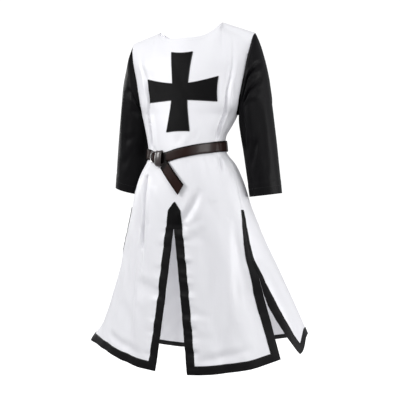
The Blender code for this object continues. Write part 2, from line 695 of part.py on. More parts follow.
def sewn_on(name, across, z, quads, material):
    """A flat piece sewn to the front: the panel's surface under it, moved out."""
    theta, level = spot_on_front(np.ravel(across), np.ravel(z))
    points, normals = body_surface(theta, level, True), body_normal(theta, level, True)
    return wall(name, points + (LIFT + APPLIQUE) * normals, points + LIFT * normals, quads, material)


def cross_arm(reach, end, skew, sideways, steps=6, lines=5):
    """Along and across one arm, from its root to its hollow end: its width grows a little faster outwards."""
    u = np.linspace(0, 1, steps + 1)[:, None]
    v = np.linspace(-1, 1, lines)[None, :]
    half = CROSS_ROOT + (end - CROSS_ROOT) * u**1.3
    hollow = CROSS_END_HOLLOW * (1 - v**2) * step((u - 0.6) / 0.4)
    along = CROSS_ROOT + (reach - CROSS_ROOT) * u - hollow + skew * u * half * v
    return along, half * v - sideways * u


def build_cross(material):
    """Four arms round a square middle."""
    grids = []
    for right, up, *shape in CROSS_ARMS:
        along, beside = cross_arm(*shape)
        grids.append((along * right + beside * up, along * up - beside * right))
    side = np.linspace(-1, 1, 5) * CROSS_ROOT
    grids.append(np.meshgrid(side, side))
    quads, start = [], 0
    for across, _ in grids:
        quads.append(grid_quads(*across.shape) + start)
        start += across.size
    across, up = (np.concatenate([grid[i].ravel() for grid in grids]) for i in (0, 1))
    z = CROSS_CENTRE_Z + up + CROSS_TILT * across + CROSS_RISE * (across / 0.12) ** 2
    sewn_on("cross", across, z, np.concatenate(quads), material)


def build_patch(material):
    """The pentagon: five points across each row, narrowing from its shoulder to its tip."""
    rows = np.array([0, 0.5, 1, 1.5, 1.94])[:, None]
    half = np.interp(rows, [0, 1, 2], [PATCH_HALF_BOTTOM, PATCH_HALF_SHOULDER, 0])
    z = np.interp(rows, [0, 1, 2], [PATCH_BOTTOM, PATCH_SHOULDER, PATCH_TIP])
    v = np.linspace(-1, 1, 5)[None, :]
    sewn_on("slit_patch", half * v + PATCH_SHIFT, z + 0 * v, grid_quads(5, 5), material)


# ---- belt ----


def belt_spot(theta, up, out):
    """A point by the belt's middle line: up the cloth from it, and out from the cloth."""
    theta, up, out = np.broadcast_arrays(np.asarray(theta, float), up, out)
    share = ((BELT_LEVEL + up - CINCH[0]) / (CINCH[1] - CINCH[0]))[..., None]
    angle = wrapped(theta)
    back = (np.abs(angle) > math.pi / 2)[..., None]
    ends = []
    for level in CINCH:
        row = np.full(theta.shape, level)
        points = np.where(back, body_surface(angle, row, False), body_surface(angle, row, True))
        ends.append((points, ring_normal(angle, row)))
    points = ends[0][0] * (1 - share) + ends[1][0] * share
    normals = unit(ends[0][1] * (1 - share) + ends[1][1] * share)
    return points + normals * out[..., None]


def ring_normal(theta, level):
    """The level outward direction of a ring."""
    turn = 0.01
    across = ring(theta + turn, level) - ring(theta - turn, level)
    across[..., 2] = 0
    return unit(np.cross(across, np.array([0.0, 0.0, 1.0])))


def build_strap(material):
    theta = np.radians(np.linspace(STRAP_FROM, STRAP_TO, 59))[:, None]
    up = np.array([-STRAP_HALF, 0, STRAP_HALF])[None, :]
    theta, up = np.broadcast_arrays(theta, up)
    inner = belt_spot(theta, up, np.full(theta.shape, LIFT))
    outer = belt_spot(theta, up, np.full(theta.shape, LIFT + STRAP))
    wall("belt_strap", outer, inner, grid_quads(*theta.shape), material)


def build_belt_ring(material):
    theta = np.radians(RING_THETA)
    spot = belt_spot(theta, 0.0, RING_LIFT)
    across = belt_spot(theta + 0.05, 0.0, RING_LIFT) - belt_spot(theta - 0.05, 0.0, RING_LIFT)
    upward = belt_spot(theta, 0.01, RING_LIFT) - belt_spot(theta, -0.01, RING_LIFT)
    facing = Vector(np.cross(across, upward))
    bpy.ops.mesh.primitive_torus_add(
        major_radius=RING_RADIUS, minor_radius=RING_WIRE, major_segments=28, minor_segments=8
    )
    obj = bpy.context.object
    obj.name = obj.data.name = "belt_ring"
    obj.location = spot
    obj.rotation_euler = facing.to_track_quat("Z", "Y").to_euler()
    obj.data.shade_smooth()
    for collection in obj.users_collection:
        collection.objects.unlink(obj)
    place(obj, material)


def build_knot(material):
    """A band round the strap's ends: its path runs down in front and up behind them."""
    up, out = np.array(KNOT_PATH["up"]), np.array(KNOT_PATH["out"])
    path = np.stack([out, up], axis=-1)
    ahead = unit(np.roll(path, -1, axis=0) - np.roll(path, 1, axis=0))
    sideways = np.stack([ahead[:, 1], -ahead[:, 0]], axis=-1) * STRAP / 2
    turn = np.radians(KNOT_THETA + KNOT_HALF_ANGLE * np.linspace(-1, 1, 3))[:, None]
    surfaces = []
    for offset in (sideways, -sideways):
        theta, o, u = np.broadcast_arrays(turn, (path + offset)[None, :, 0], (path + offset)[None, :, 1])
        surfaces.append(belt_spot(theta, u, o))
    wall("belt_knot", *surfaces, grid_quads(3, len(up), closed=True), material)


def build_tail(material):
    """The free end: it hangs on a slant in front of the cloth, and its tip is cut on a slant."""
    top, low = np.array(TAIL_TOP), np.array(TAIL_LOW)
    way = unit(low - top)
    beside = np.array([-way[1], way[0]])
    s = np.linspace(0, 1, 9)[:, None, None]
    v = np.linspace(-1, 1, 3)[None, :, None]
    place_xz = top + (low - top) * s + v * STRAP_HALF * beside - v * (TAIL_SLANT * s**6 + TAIL_START_SLANT * (1 - s) ** 3) * way
    x, z = place_xz[..., 0], place_xz[..., 1]
    level = z
    for _ in range(6):
        theta = np.arcsin(x / body(level, "side_x"))
        level = level + z - body_surface(theta, level, True)[..., 2]
    lift = (TAIL_LIFT_TOP + (TAIL_LIFT_LOW - TAIL_LIFT_TOP) * s[..., 0])[..., None]
    points, normals = body_surface(theta, level, True), body_normal(theta, level, True)
    wall("belt_tail", points + (lift + STRAP) * normals, points + lift * normals, grid_quads(9, 3), material)


def main():
    start_scene()
    cloth = {name: make_material(name) for name in COLOURS}
    halves = panel_halves()
    sleeves = {side: sleeve_grid(halves, side) for side in (1, -1)}
    mitre_armholes(halves, sleeves)
    build_panel("front_panel", halves, True, cloth["white_cloth"])
    build_panel("back_panel", halves, False, cloth["white_cloth"])
    build_sleeve("sleeve_left", sleeves[1], cloth["black_cloth"])
    build_sleeve("sleeve_right", sleeves[-1], cloth["black_cloth"])
    build_trims(halves, cloth["black_cloth"])
    build_cross(cloth["black_cloth"])
    build_patch(cloth["black_cloth"])
    build_strap(cloth["brown_leather"])
    build_belt_ring(cloth["bright_metal"])
    build_knot(cloth["brown_leather"])
    build_tail(cloth["brown_leather"])


main()
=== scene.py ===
"""Medieval surcoat: white satin, a black flared cross, black sleeves and trim, and a leather ring belt."""

import math

import bpy
import numpy as np
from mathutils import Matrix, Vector


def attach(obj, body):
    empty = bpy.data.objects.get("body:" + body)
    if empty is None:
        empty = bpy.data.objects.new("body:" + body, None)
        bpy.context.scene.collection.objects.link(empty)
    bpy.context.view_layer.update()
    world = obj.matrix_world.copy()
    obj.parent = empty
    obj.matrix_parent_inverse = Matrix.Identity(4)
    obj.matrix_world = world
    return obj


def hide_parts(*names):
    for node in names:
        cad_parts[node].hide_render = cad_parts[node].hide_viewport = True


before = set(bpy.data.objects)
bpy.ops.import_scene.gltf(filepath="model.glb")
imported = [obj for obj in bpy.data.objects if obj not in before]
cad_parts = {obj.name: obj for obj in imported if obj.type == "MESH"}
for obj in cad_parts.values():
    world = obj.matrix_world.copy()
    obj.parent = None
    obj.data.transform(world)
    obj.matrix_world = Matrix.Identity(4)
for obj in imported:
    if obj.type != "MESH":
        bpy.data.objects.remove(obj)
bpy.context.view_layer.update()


# ---- Camera ----
# It stands a little to the garment's left of its centre front, level with the belt, and looks
# slightly down at it.

VIEW_TURN = math.radians(22.07)
VIEW_DISTANCE = 3.188
VIEW_HEIGHT = -0.406
VIEW_PITCH = math.radians(87.037)
VIEW_ASIDE = math.radians(0.393)
SENSOR_WIDTH = 36.0
LENS = 85.95

camera_data = bpy.data.cameras.new("camera")
camera_data.sensor_width = SENSOR_WIDTH
camera_data.lens = LENS
camera = bpy.data.objects.new("camera", camera_data)
camera.location = (VIEW_DISTANCE * math.sin(VIEW_TURN), -VIEW_DISTANCE * math.cos(VIEW_TURN), VIEW_HEIGHT)
camera.rotation_euler = (VIEW_PITCH, 0.0, VIEW_TURN - VIEW_ASIDE)
bpy.context.scene.collection.objects.link(camera)
bpy.context.scene.camera = camera


# ---- Front and back of the coat ----
# Two panels of white polyester satin, each cut in one piece, joined at the shoulders and sides.
# The body is one surface of an angle round it and a level, and folds press it in and out.

CLOTH = 0.0014
SEAM = 0.0003
LIFT = 0.0005
BAND = 0.027
UNDERARM = -0.290
SHOULDER = -0.030
HEM = -1.112
LEVEL_BELOW = -0.60
SLIT_APEX = -0.6475
SLIT_START = -0.6515
SLIT_HALF_GAP = 0.0018
SLIT_HALF_SPREAD = 0.0545
SLIT_DRIFT = 0.0045
SIDE_SLIT_TOP = -0.588
SIDE_SLIT_START = -0.596
SIDE_SLIT_GAP = 0.0017
NECK_FRONT = (-0.075, -0.040)
NECK_BACK = (0.038, -0.036)
NECK_POINT = {1: (0.106, 0.008), -1: (0.117, -0.008)}
SHOULDER_POINT = {1: (0.218, -0.035), -1: (0.218, -0.036)}
NECK_SHARE = {True: 0.55, False: 0.50}
TILT = 0.04
BELT_LEVEL = -0.404
CINCH = (-0.430, -0.378)
LEAST_ROUND = 0.09  # metres along the cloth for a radian, at the least
ROW_HEIGHT = 0.0062
TOP_ROWS = 47
HALF_COLUMNS = 84
NORMAL_TURN = 0.01  # radians
NORMAL_RISE = 0.002
SEAM_DIP = 0.0011
SEAM_HALF_WIDTH = 0.0035
SLIT_PUCKER = 0.0058
RIGHT_SLIT_PUCKER = 0.0026
SHARP_CLOTH = 50  # degrees
LEVEL_TOLERANCE = 1e-6

BODY = {
    "level": (-1.112, -0.98, -0.86, -0.74, -0.652, -0.588, -0.5, -0.46, -0.43, -0.378, -0.335, -0.29),
    "side_x": (0.374, 0.328, 0.285, 0.2455, 0.222, 0.2045, 0.177, 0.158, 0.135, 0.1315, 0.148, 0.165),
    "right_in": (0.003, 0.007, 0.004, 0.001, 0.003, 0.003, 0.001, 0.0, -0.003, -0.003, 0.0, 0.0),
    "front_y": (
        -0.205, -0.192, -0.181, -0.173, -0.168, -0.165, -0.158, -0.1525, -0.148, -0.143, -0.137, -0.1285,
    ),
    "back_y": (0.335, 0.303, 0.256, 0.203, 0.1655, 0.135, 0.093, 0.072, 0.055, 0.047, 0.060, 0.078),
    "middle_y": (0.05, 0.045, 0.027, 0.004, -0.012, -0.026, -0.041, -0.047, -0.053, -0.056, -0.047, -0.037),
}
ROWS = {
    True: {
        "level": (-0.262, -0.215, -0.165, -0.105),
        "arm_x": (0.178, 0.188, 0.198, 0.208),
        "arm_y": (-0.060, -0.066, -0.062, -0.046),
        "arm_z": (-0.264, -0.222, -0.172, -0.100),
        "centre_y": (-0.124, -0.117, -0.1105, -0.099),
        "centre_z": (-0.262, -0.215, -0.165, -0.105),
        "round": (84, 76, 66, 60),
        "right_in": (0.014, 0.018, 0.018, 0.007),
    },
    False: {
        "level": (-0.262, -0.215, -0.165, -0.105),
        "arm_x": (0.176, 0.184, 0.192, 0.205),
        "arm_y": (0.004, 0.032, 0.046, 0.043),
        "arm_z": (-0.262, -0.220, -0.168, -0.098),
        "centre_y": (0.082, 0.087, 0.088, 0.074),
        "centre_z": (-0.262, -0.215, -0.165, -0.100),
        "round": (86, 78, 68, 60),
        "right_in": (0.008, 0.010, 0.009, 0.005),
    },
}
HEM_LINE = {
    "theta": (-180, -150, -120, -92, -70, -45, -20, 0, 45, 62, 78, 92, 105, 140, 180),
    "z": (
        -1.125, -1.132, -1.097, -1.058, -1.061, -1.074, -1.100, -1.112, -1.087, -1.066, -1.056, -1.014,
        -1.016, -1.066, -1.125,
    ),
}
BELT_LINE = {
    "theta": (-180, -90, -60, -45, -27, -14, 0, 25, 48, 90, 180),
    "z": (-0.399, -0.4155, -0.418, -0.422, -0.432, -0.4265, -0.4165, -0.404, -0.397, -0.392, -0.399),
}
EDGES = {
    "level": (-1.112, -1.000, -0.930, -0.820, -0.668, -0.588, -0.500, -0.368, -0.290),
    1: (61.3, 61.7, 62.0, 63.0, 67.5, 72.0, 78.0, 85.0, 88.0),
    -1: (85.0, 84.0, 83.0, 80.5, 76.0, 73.0, 78.0, 85.0, 88.0),
}
OPENING = {
    "level": (-1.112, -1.040, -0.980, -0.930, -0.880),
    1: (15.2, 7.9, 3.5, 0.9, 0.0),
    -1: (11.0, 5.5, 2.2, 0.5, 0.0),
}
SIDE_BAND = {
    "level": (-1.112, -0.930, -0.880, -0.850, -0.740, -0.660, -0.596, -0.560, -0.460, -0.290),
    True: (0.027, 0.027, 0.025, 0.022, 0.016, 0.010, 0.004, 0.008, 0.018, 0.018),
    False: (0.027, 0.027, 0.021, 0.013, 0.007, 0.005, 0.004, 0.008, 0.018, 0.018),
}

# Broad folds: angle and level of the top, angle and level of the low end, half-width, depth,
# and the share of the depth kept at the low end
FOLDS = (
    (-45, -0.47, -26, -1.112, 0.016, -0.009, 0.45),
    (-34, -0.47, -17, -1.112, 0.024, 0.006, 0.7),
    (-60, -0.66, -46, -1.112, 0.022, -0.004, 0.8),
    (24, -0.60, 29, -1.112, 0.022, -0.006, 0.8),
    (36, -0.56, 41, -1.112, 0.024, 0.006, 0.7),
    (55, -0.60, 51, -1.112, 0.022, -0.004, 0.6),
    (60, -0.08, 61, -0.37, 0.011, -0.005, 0.3),
    (-55, -0.16, -57, -0.37, 0.011, -0.004, 0.3),
    (118, -0.09, 112, -0.37, 0.012, -0.005, 0.3),
    (-120, -0.09, -112, -0.37, 0.012, -0.005, 0.3),
    (66, -0.76, 78, -1.112, 0.040, 0.021, 0.5),
    (-84, -0.74, -90, -1.112, 0.046, -0.021, 1.0),
    (-71, -1.04, -71, -1.34, 0.035, 0.018, 1.0),
    (150, -0.47, 153, -1.112, 0.030, -0.011, 0.9),
    (-150, -0.47, -153, -1.112, 0.030, -0.011, 0.9),
    (176, -0.50, 178, -1.112, 0.034, 0.008, 0.9),
    (128, -0.50, 133, -1.112, 0.028, 0.007, 0.9),
    (-128, -0.50, -134, -1.112, 0.028, 0.007, 0.9),
)

# Creases, each listed: its path as angle and level pairs, its half-width on the wearer's
# left and on the wearer's right where the path runs down, and its height, negative for a trough
CREASES = (
    # beside the cross on the wearer's left, from the shoulder to the belt
    (
        ((61, -0.058), (65.8, -0.124), (65.8, -0.172), (60, -0.244), (59.5, -0.328), (66, -0.376)),
        0.0050, 0.0042, -0.0095,
    ),
    (((76, -0.170), (77, -0.240), (74, -0.300), (78, -0.370)), 0.012, 0.011, -0.0016),
    (((66, -0.180), (66, -0.250), (63, -0.310), (67, -0.370)), 0.008, 0.007, 0.0030),
    (((45, -0.075), (48, -0.120), (47, -0.170)), 0.010, 0.016, -0.0014),
    # on the wearer's right: at the neck, then from the armhole to the belt
    (((-71, -0.040), (-60, -0.065), (-53, -0.077)), 0.004, 0.005, -0.0030),
    (
        ((-66, -0.085), (-60.3, -0.158), (-55, -0.205), (-49.2, -0.256), (-47.8, -0.344), (-49.5, -0.378)),
        0.0100, 0.0050, -0.0150,
    ),
    (((-55, -0.230), (-42, -0.290), (-39, -0.340), (-42, -0.376)), 0.009, 0.014, 0.0020),
    # along the left shoulder seam
    (((44, -0.046), (62, -0.056), (74, -0.060), (85, -0.066)), 0.009, 0.008, -0.0075),
    # drawn to the belt
    (((-4, -0.345), (2, -0.360), (5, -0.378)), 0.010, 0.012, -0.0018),
    (((16, -0.350), (13, -0.364), (12, -0.378)), 0.008, 0.012, 0.0016),
    (((30, -0.330), (27, -0.352), (25, -0.378)), 0.008, 0.010, -0.0016),
    (((68, -0.430), (59.3, -0.460), (55.5, -0.487)), 0.005, 0.007, -0.0090),
    (((76, -0.430), (74, -0.470), (70, -0.520)), 0.009, 0.008, -0.0030),
    (((38, -0.430), (37, -0.455), (35, -0.490)), 0.007, 0.009, -0.0016),
    (((14, -0.430), (15, -0.455), (17, -0.485)), 0.008, 0.008, -0.0013),
    (((-58, -0.430), (-56, -0.470), (-54, -0.520)), 0.007, 0.008, -0.0028),
    # the skirt's right front
    (
        ((-44, -0.470), (-39.2, -0.526), (-33, -0.616), (-31.5, -0.684), (-30.4, -0.735)),
        0.0085, 0.0085, -0.0190,
    ),
    (((-32.5, -0.650), (-31, -0.700), (-28.8, -0.775), (-25, -0.900)), 0.013, 0.014, -0.0110),
    (((-52, -0.700), (-50, -0.760), (-43, -0.840), (-37, -0.900)), 0.012, 0.014, -0.0025),
    (((-27, -0.500), (-21, -0.640), (-17, -0.760), (-14, -0.850)), 0.020, 0.016, 0.0030),
    (((-30, -0.850), (-20, -0.850), (-11, -0.870), (-7, -0.905)), 0.018, 0.028, -0.0050),
    (((-44, -0.930), (-36, -0.960), (-30, -1.010)), 0.020, 0.020, -0.0022),
    (((-26, -0.930), (-22, -1.000), (-21, -1.070)), 0.018, 0.018, 0.0022),
    # the skirt's left front
    (((6, -0.640), (13, -0.605), (20, -0.565), (26, -0.525)), 0.011, 0.012, -0.0085),
    (((10, -0.662), (19, -0.650), (28, -0.636)), 0.009, 0.012, 0.0018),
    (((10, -0.690), (18, -0.684), (27, -0.690)), 0.012, 0.014, -0.0018),
    (((38, -0.560), (35, -0.650), (34, -0.740), (30, -0.830), (24, -0.920)), 0.017, 0.020, -0.0036),
    (((50, -0.620), (44.5, -0.740), (37.5, -0.880), (33, -0.990)), 0.015, 0.013, 0.0044),
    (((55, -0.700), (52, -0.820), (47, -0.940)), 0.014, 0.012, -0.0020),
    (((40, -0.960), (39, -1.020), (42, -1.060)), 0.016, 0.018, -0.0024),
    (((11, -0.905), (17, -0.925), (24, -0.935)), 0.012, 0.010, -0.0024),
    (((10, -0.985), (17, -0.995), (25, -1.005)), 0.012, 0.014, -0.0018),
    (((14, -1.070), (24, -1.066), (34, -1.060), (46, -1.056)), 0.013, 0.012, -0.0042),
    (((-50, -1.052), (-38, -1.060), (-26, -1.066), (-16, -1.070)), 0.013, 0.012, -0.0042),
    # the back, drawn to the belt and falling from it
    (((180, -0.120), (176, -0.220), (178, -0.376)), 0.014, 0.014, -0.0035),
    (((140, -0.130), (146, -0.240), (152, -0.376)), 0.010, 0.013, -0.0045),
    (((-138, -0.120), (-146, -0.250), (-150, -0.376)), 0.012, 0.010, -0.0045),
    (((162, -0.250), (165, -0.310), (166, -0.376)), 0.009, 0.010, 0.0028),
    (((-165, -0.240), (-168, -0.310), (-166, -0.376)), 0.010, 0.009, 0.0028),
    (((112, -0.180), (110, -0.270), (106, -0.376)), 0.009, 0.010, -0.0036),
    (((-110, -0.170), (-108, -0.280), (-104, -0.376)), 0.010, 0.009, -0.0036),
    (((166, -0.430), (163, -0.520), (160, -0.660), (159, -0.840)), 0.010, 0.013, -0.0055),
    (((-170, -0.430), (-168, -0.540), (-166, -0.700), (-164, -0.900)), 0.012, 0.010, -0.0055),
    (((-138, -0.430), (-140, -0.520), (-143, -0.700), (-146, -0.880)), 0.010, 0.012, -0.0045),
    (((140, -0.430), (141, -0.500), (144, -0.640)), 0.009, 0.010, -0.0040),
    (((113, -0.430), (115, -0.520), (118, -0.680), (122, -0.860)), 0.013, 0.012, -0.0040),
    (((-112, -0.430), (-114, -0.540), (-119, -0.720), (-124, -0.900)), 0.012, 0.014, -0.0040),
    (((96, -0.440), (98, -0.520), (99, -0.600)), 0.009, 0.010, -0.0030),
    (((-95, -0.440), (-97, -0.520), (-98, -0.620)), 0.010, 0.009, -0.0030),
    (((178, -0.560), (179, -0.720), (180, -0.920), (180, -1.060)), 0.020, 0.022, 0.0040),
    (((-154, -0.620), (-157, -0.780), (-158, -0.960)), 0.018, 0.016, 0.0040),
    (((150, -0.700), (150, -0.860), (148, -1.020)), 0.018, 0.020, -0.0040),
    (((-130, -0.760), (-133, -0.900), (-135, -1.040)), 0.020, 0.018, -0.0035),
    (((104, -0.700), (108, -0.840), (112, -0.980)), 0.018, 0.018, 0.0035),
    (((-102, -0.700), (-107, -0.840), (-110, -0.980)), 0.018, 0.018, 0.0030),
)


def slopes(rise, width):
    """The slope at each knot: the mean of its two neighbouring rises, the nearer one counting more."""
    between = (rise[:-1] * width[1:] + rise[1:] * width[:-1]) / (width[1:] + width[:-1])
    return np.concatenate([rise[:1], between, rise[-1:]])


def hermite(u, h, start, start_slope, end, end_slope):
    """The cubic with these ends and slopes, at a share u of the way from end to end, h long."""
    return (
        (2 * u**3 - 3 * u**2 + 1) * start
        + (u**3 - 2 * u**2 + u) * h * start_slope
        + (3 * u**2 - 2 * u**3) * end
        + (u**3 - u**2) * h * end_slope
    )


def smooth(x, knots, values):
    """Cubic Hermite pieces through the values at the knots, level beyond the first and the last."""
    knots, values = np.asarray(knots, float), np.asarray(values, float)
    x = np.clip(np.asarray(x, float), knots[0], knots[-1])
    trailing = (1,) * (values.ndim - 1)
    width = np.diff(knots).reshape((-1,) + trailing)
    slope = slopes(np.diff(values, axis=0) / width, width)
    i = np.clip(np.searchsorted(knots, x, side="right") - 1, 0, len(knots) - 2)
    h = (knots[i + 1] - knots[i]).reshape(x.shape + trailing)
    u = (x - knots[i]).reshape(x.shape + trailing) / h
    return hermite(u, h, values[i], slope[i], values[i + 1], slope[i + 1])


def step(u):
    """Rises smoothly from 0 to 1: three u squared less two u cubed."""
    u = np.clip(u, 0.0, 1.0)
    return u * u * (3 - 2 * u)


def unit(v):
    """Each vector divided by its length."""
    return v / np.maximum(np.linalg.norm(v, axis=-1, keepdims=True), 1e-12)


def wrapped(theta):
    """The same angle, between half a turn back and half a turn on."""
    return (np.asarray(theta) + math.pi) % (2 * math.pi) - math.pi


def body(level, column):
    """One of the body's measurements at a level, smooth between the rows of its table."""
    return smooth(level, BODY["level"], BODY[column])


def around(theta, level):
    """Metres along the cloth for a radian: the length of the ellipse's tangent."""
    depth = body(level, "middle_y") - body(level, "front_y")
    return np.hypot(body(level, "side_x") * np.cos(theta), depth * np.sin(theta))


def ring(theta, level):
    """A ring round the body: half an ellipse in front, half behind, raised by the hem's and belt's lines."""
    middle, cosine = body(level, "middle_y"), np.cos(theta)
    turn = np.degrees(wrapped(theta))
    depth = np.where(cosine > 0, middle - body(level, "front_y"), body(level, "back_y") - middle)
    side_x = body(level, "side_x") - np.where(np.sin(theta) < 0, body(level, "right_in"), 0)
    hem_share = np.clip((LEVEL_BELOW - level) / (LEVEL_BELOW - HEM), 0, 1)
    above = step((UNDERARM - level) / (UNDERARM - CINCH[1]))
    below = step((level - LEVEL_BELOW) / (CINCH[0] - LEVEL_BELOW))
    z = level + hem_share * (smooth(turn, HEM_LINE["theta"], HEM_LINE["z"]) - HEM)
    z += np.minimum(above, below) * (smooth(turn, BELT_LINE["theta"], BELT_LINE["z"]) - BELT_LEVEL)
    return np.stack([side_x * np.sin(theta), middle - depth * cosine, z], axis=-1)


def bodice_row(rows, k, t):
    """A row from the centre line to the armhole: an arc of a circle, stretched to the row's ends."""
    bend = math.radians(rows["round"][k])
    across = np.sin(np.abs(t) * bend) / math.sin(bend)
    back = (1 - np.cos(t * bend)) / (1 - math.cos(bend))
    centre_y, centre_z = rows["centre_y"][k], rows["centre_z"][k]
    arm_x = rows["arm_x"][k] - np.where(t < 0, rows["right_in"][k], 0)
    y = centre_y + (rows["arm_y"][k] - centre_y) * back
    z = centre_z + (rows["arm_z"][k] - centre_z) * t * t
    return np.stack([np.sign(t) * arm_x * across, y, z], axis=-1)


def top_row(front, t):
    """The neckline, an ellipse in plan whose ends turn up, then the straight shoulder seam."""
    neck_y, neck_z = NECK_FRONT if front else NECK_BACK
    seam_y = -SEAM / 2 if front else SEAM / 2
    share = NECK_SHARE[front]
    u = np.clip(np.abs(t) / share, 0, 1)
    v = np.clip((np.abs(t) - share) / (1 - share), 0, None)
    sine = np.sin(u * math.pi / 2)
    left = (t >= 0)[:, None]
    point_x, point_z = np.where(left, NECK_POINT[1], NECK_POINT[-1]).T
    end_x, end_z = np.where(left, SHOULDER_POINT[1], SHOULDER_POINT[-1]).T
    x = np.sign(t) * (point_x * sine + (end_x - point_x) * v)
    y = seam_y + (neck_y - seam_y) * np.cos(u * math.pi / 2)
    z = neck_z * (1 - sine**4) + point_z * sine**4 + (end_z - point_z) * v
    return np.stack([x, y, z], axis=-1)


def bodice(theta, level, front):
    """The panel above the underarm: each column is a Hermite curve through the rows."""
    edge = math.radians(EDGES[1][-1])
    rows = ROWS[front]
    t = theta / edge if front else np.sign(theta) * (math.pi - np.abs(theta)) / (math.pi - edge)
    knots = np.array((BODY["level"][-2], UNDERARM) + rows["level"] + (SHOULDER,))
    points = [ring(theta, np.full_like(theta, knots[0])), ring(theta, np.full_like(theta, knots[1]))]
    points += [bodice_row(rows, k, t) for k in range(len(rows["level"]))]
    points = np.array(points + [top_row(front, t)])
    width = np.diff(knots)[:, None, None]
    slope = slopes(np.diff(points, axis=0) / width, width)
    seam = step((np.abs(t) / NECK_SHARE[front] - 0.35) / 0.65)[:, None]
    slope[-1] *= 1 + seam * np.array([-0.6, 0.5, -0.95])
    i = np.clip(np.searchsorted(knots, level, side="right") - 1, 0, len(knots) - 2)
    column = np.arange(len(theta))
    h = (knots[i + 1] - knots[i])[:, None]
    u = (level - knots[i])[:, None] / h
    return hermite(u, h, points[i, column], slope[i, column], points[i + 1, column], slope[i + 1, column])


def fold_height(theta, level):
    """The broad folds added up: a bell curve across each one, faded in and out along it."""
    height = np.zeros_like(theta)
    for top_theta, top_level, low_theta, low_level, half_width, depth, end in FOLDS:
        along = (top_level - level) / (top_level - low_level)
        centre = np.radians(top_theta + (low_theta - top_theta) * np.clip(along, 0, 1))
        apart = wrapped(theta - centre) * np.maximum(around(centre, np.minimum(level, UNDERARM)), LEAST_ROUND)
        strength = step(along / 0.25) * (1 - (1 - end) * step((along - 0.6) / 0.4))
        strength = np.where(along > 1, end * step(1 - (along - 1) / 0.12), strength)
        height += depth * strength * np.exp(-((apart / half_width) ** 2))
    return height


def crease_bell(distance, width, lip):
    """A bell curve of the distance, less a low lip beside it."""
    share = distance / width
    return np.exp(-(share**2)) - lip * np.exp(-((share - 1.9) ** 2) / 0.8)


def path_through(path, spots):
    """A smooth line through a crease's path: the share run at each of its spots, and its two places."""
    share = np.linspace(0, 1, spots)
    first, second = smooth(share, np.linspace(0, 1, len(path)), np.array(path, float)).T
    return share, first, second


def crease_height(theta, level):
    """The creases added up: a bell curve of the distance from each path, with a low lip beside it."""
    height = np.zeros_like(theta)
    for path, left, right, depth in CREASES:
        s, turn, rise = path_through(path, 41)
        turn = np.radians(turn)
        near = np.maximum(around(turn, np.minimum(rise, UNDERARM)), LEAST_ROUND)
        reach = 3.5 * max(left, right)
        close = (level > rise.min() - reach) & (level < rise.max() + reach)
        close &= np.abs(wrapped(theta - turn.mean())) < np.ptp(turn) / 2 + reach / near.min()
        if not close.any():
            continue
        x = wrapped(theta[close, None] - turn[None, :]) * near[None, :]
        y = level[close, None] - rise[None, :]
        k = np.argmin(x * x + y * y, axis=1)
        row = np.arange(len(k))
        distance = np.hypot(x[row, k], y[row, k])
        ahead_x, ahead_y = np.gradient(turn) * near, np.gradient(rise)
        side = x[row, k] * -ahead_y[k] + y[row, k] * ahead_x[k]
        width = np.where(side > 0, left, right)
        taper = np.sin(math.pi * s[k] ** 0.8) ** 0.7
        if abs(path[-1][1] - CINCH[1]) < 0.004:
            taper = np.sin(math.pi / 2 * s[k]) ** 0.8
        if abs(path[0][1] - CINCH[0]) < 0.004:
            taper = np.cos(math.pi / 2 * s[k]) ** 0.8
        height[close] += depth * taper * crease_bell(distance, width, 0.28)
    return height


def ripple(x, phase):
    """An uneven ripple between about -1 and 1: three sine waves whose lengths don't fit each other."""
    waves = ((0.5, 1, 1), (0.3, 1.73, 2.1), (0.2, 2.91, 0.7))
    return sum(size * np.sin(rate * x + shift * phase) for size, rate, shift in waves)


def slit_spread(level):
    """How far the front slit has opened: 0 at its head, 1 at the hem."""
    return np.clip((SLIT_APEX - level) / (SLIT_APEX - HEM), 0, 1)


def from_side_seam(theta, level, wearer_side):
    """Metres along the cloth to a side seam."""
    flat = np.minimum(level, UNDERARM)
    edge = wearer_side * np.radians(smooth(flat, EDGES["level"], EDGES[wearer_side]))
    return np.abs(wrapped(theta - edge)) * around(edge, flat)


def pucker_height(theta, level, front):
    """The small give of sewn cloth: ripples beside stitched edges and a slow uneven swell everywhere."""
    flat = np.minimum(level, UNDERARM)
    run = theta * around(theta, flat)
    height = 0.0007 * ripple(run * 38, 1.0) * ripple(level * 21, 2.0)
    height += 0.0005 * ripple(run * 61 + level * 33, 4.0)
    if front:
        inward = np.abs(theta) * around(0.0, flat) - SLIT_HALF_SPREAD * slit_spread(level) - BAND
        sewn = np.exp(-((inward / 0.020) ** 2)) * step((-0.60 - level) / 0.05)
        give = np.where(theta > 0, SLIT_PUCKER, RIGHT_SLIT_PUCKER)
        height += give * sewn * ripple(level * 92 + 2.0 * theta, np.where(theta > 0, 0.4, 2.6))
    for wearer_side in (1, -1):
        beside = from_side_seam(theta, level, wearer_side)
        band = BAND * np.clip((SIDE_SLIT_TOP - level) / 0.25, 0, 1)
        sewn = np.exp(-(((beside - band) / 0.014) ** 2)) * step((UNDERARM - level) / 0.03)
        height += 0.0009 * sewn * ripple(level * 110, 1.3 * wearer_side)
    hem = np.exp(-(((level - HEM - BAND) / 0.014) ** 2))
    return height + 0.0008 * hem * ripple(run * 95, 3.1)


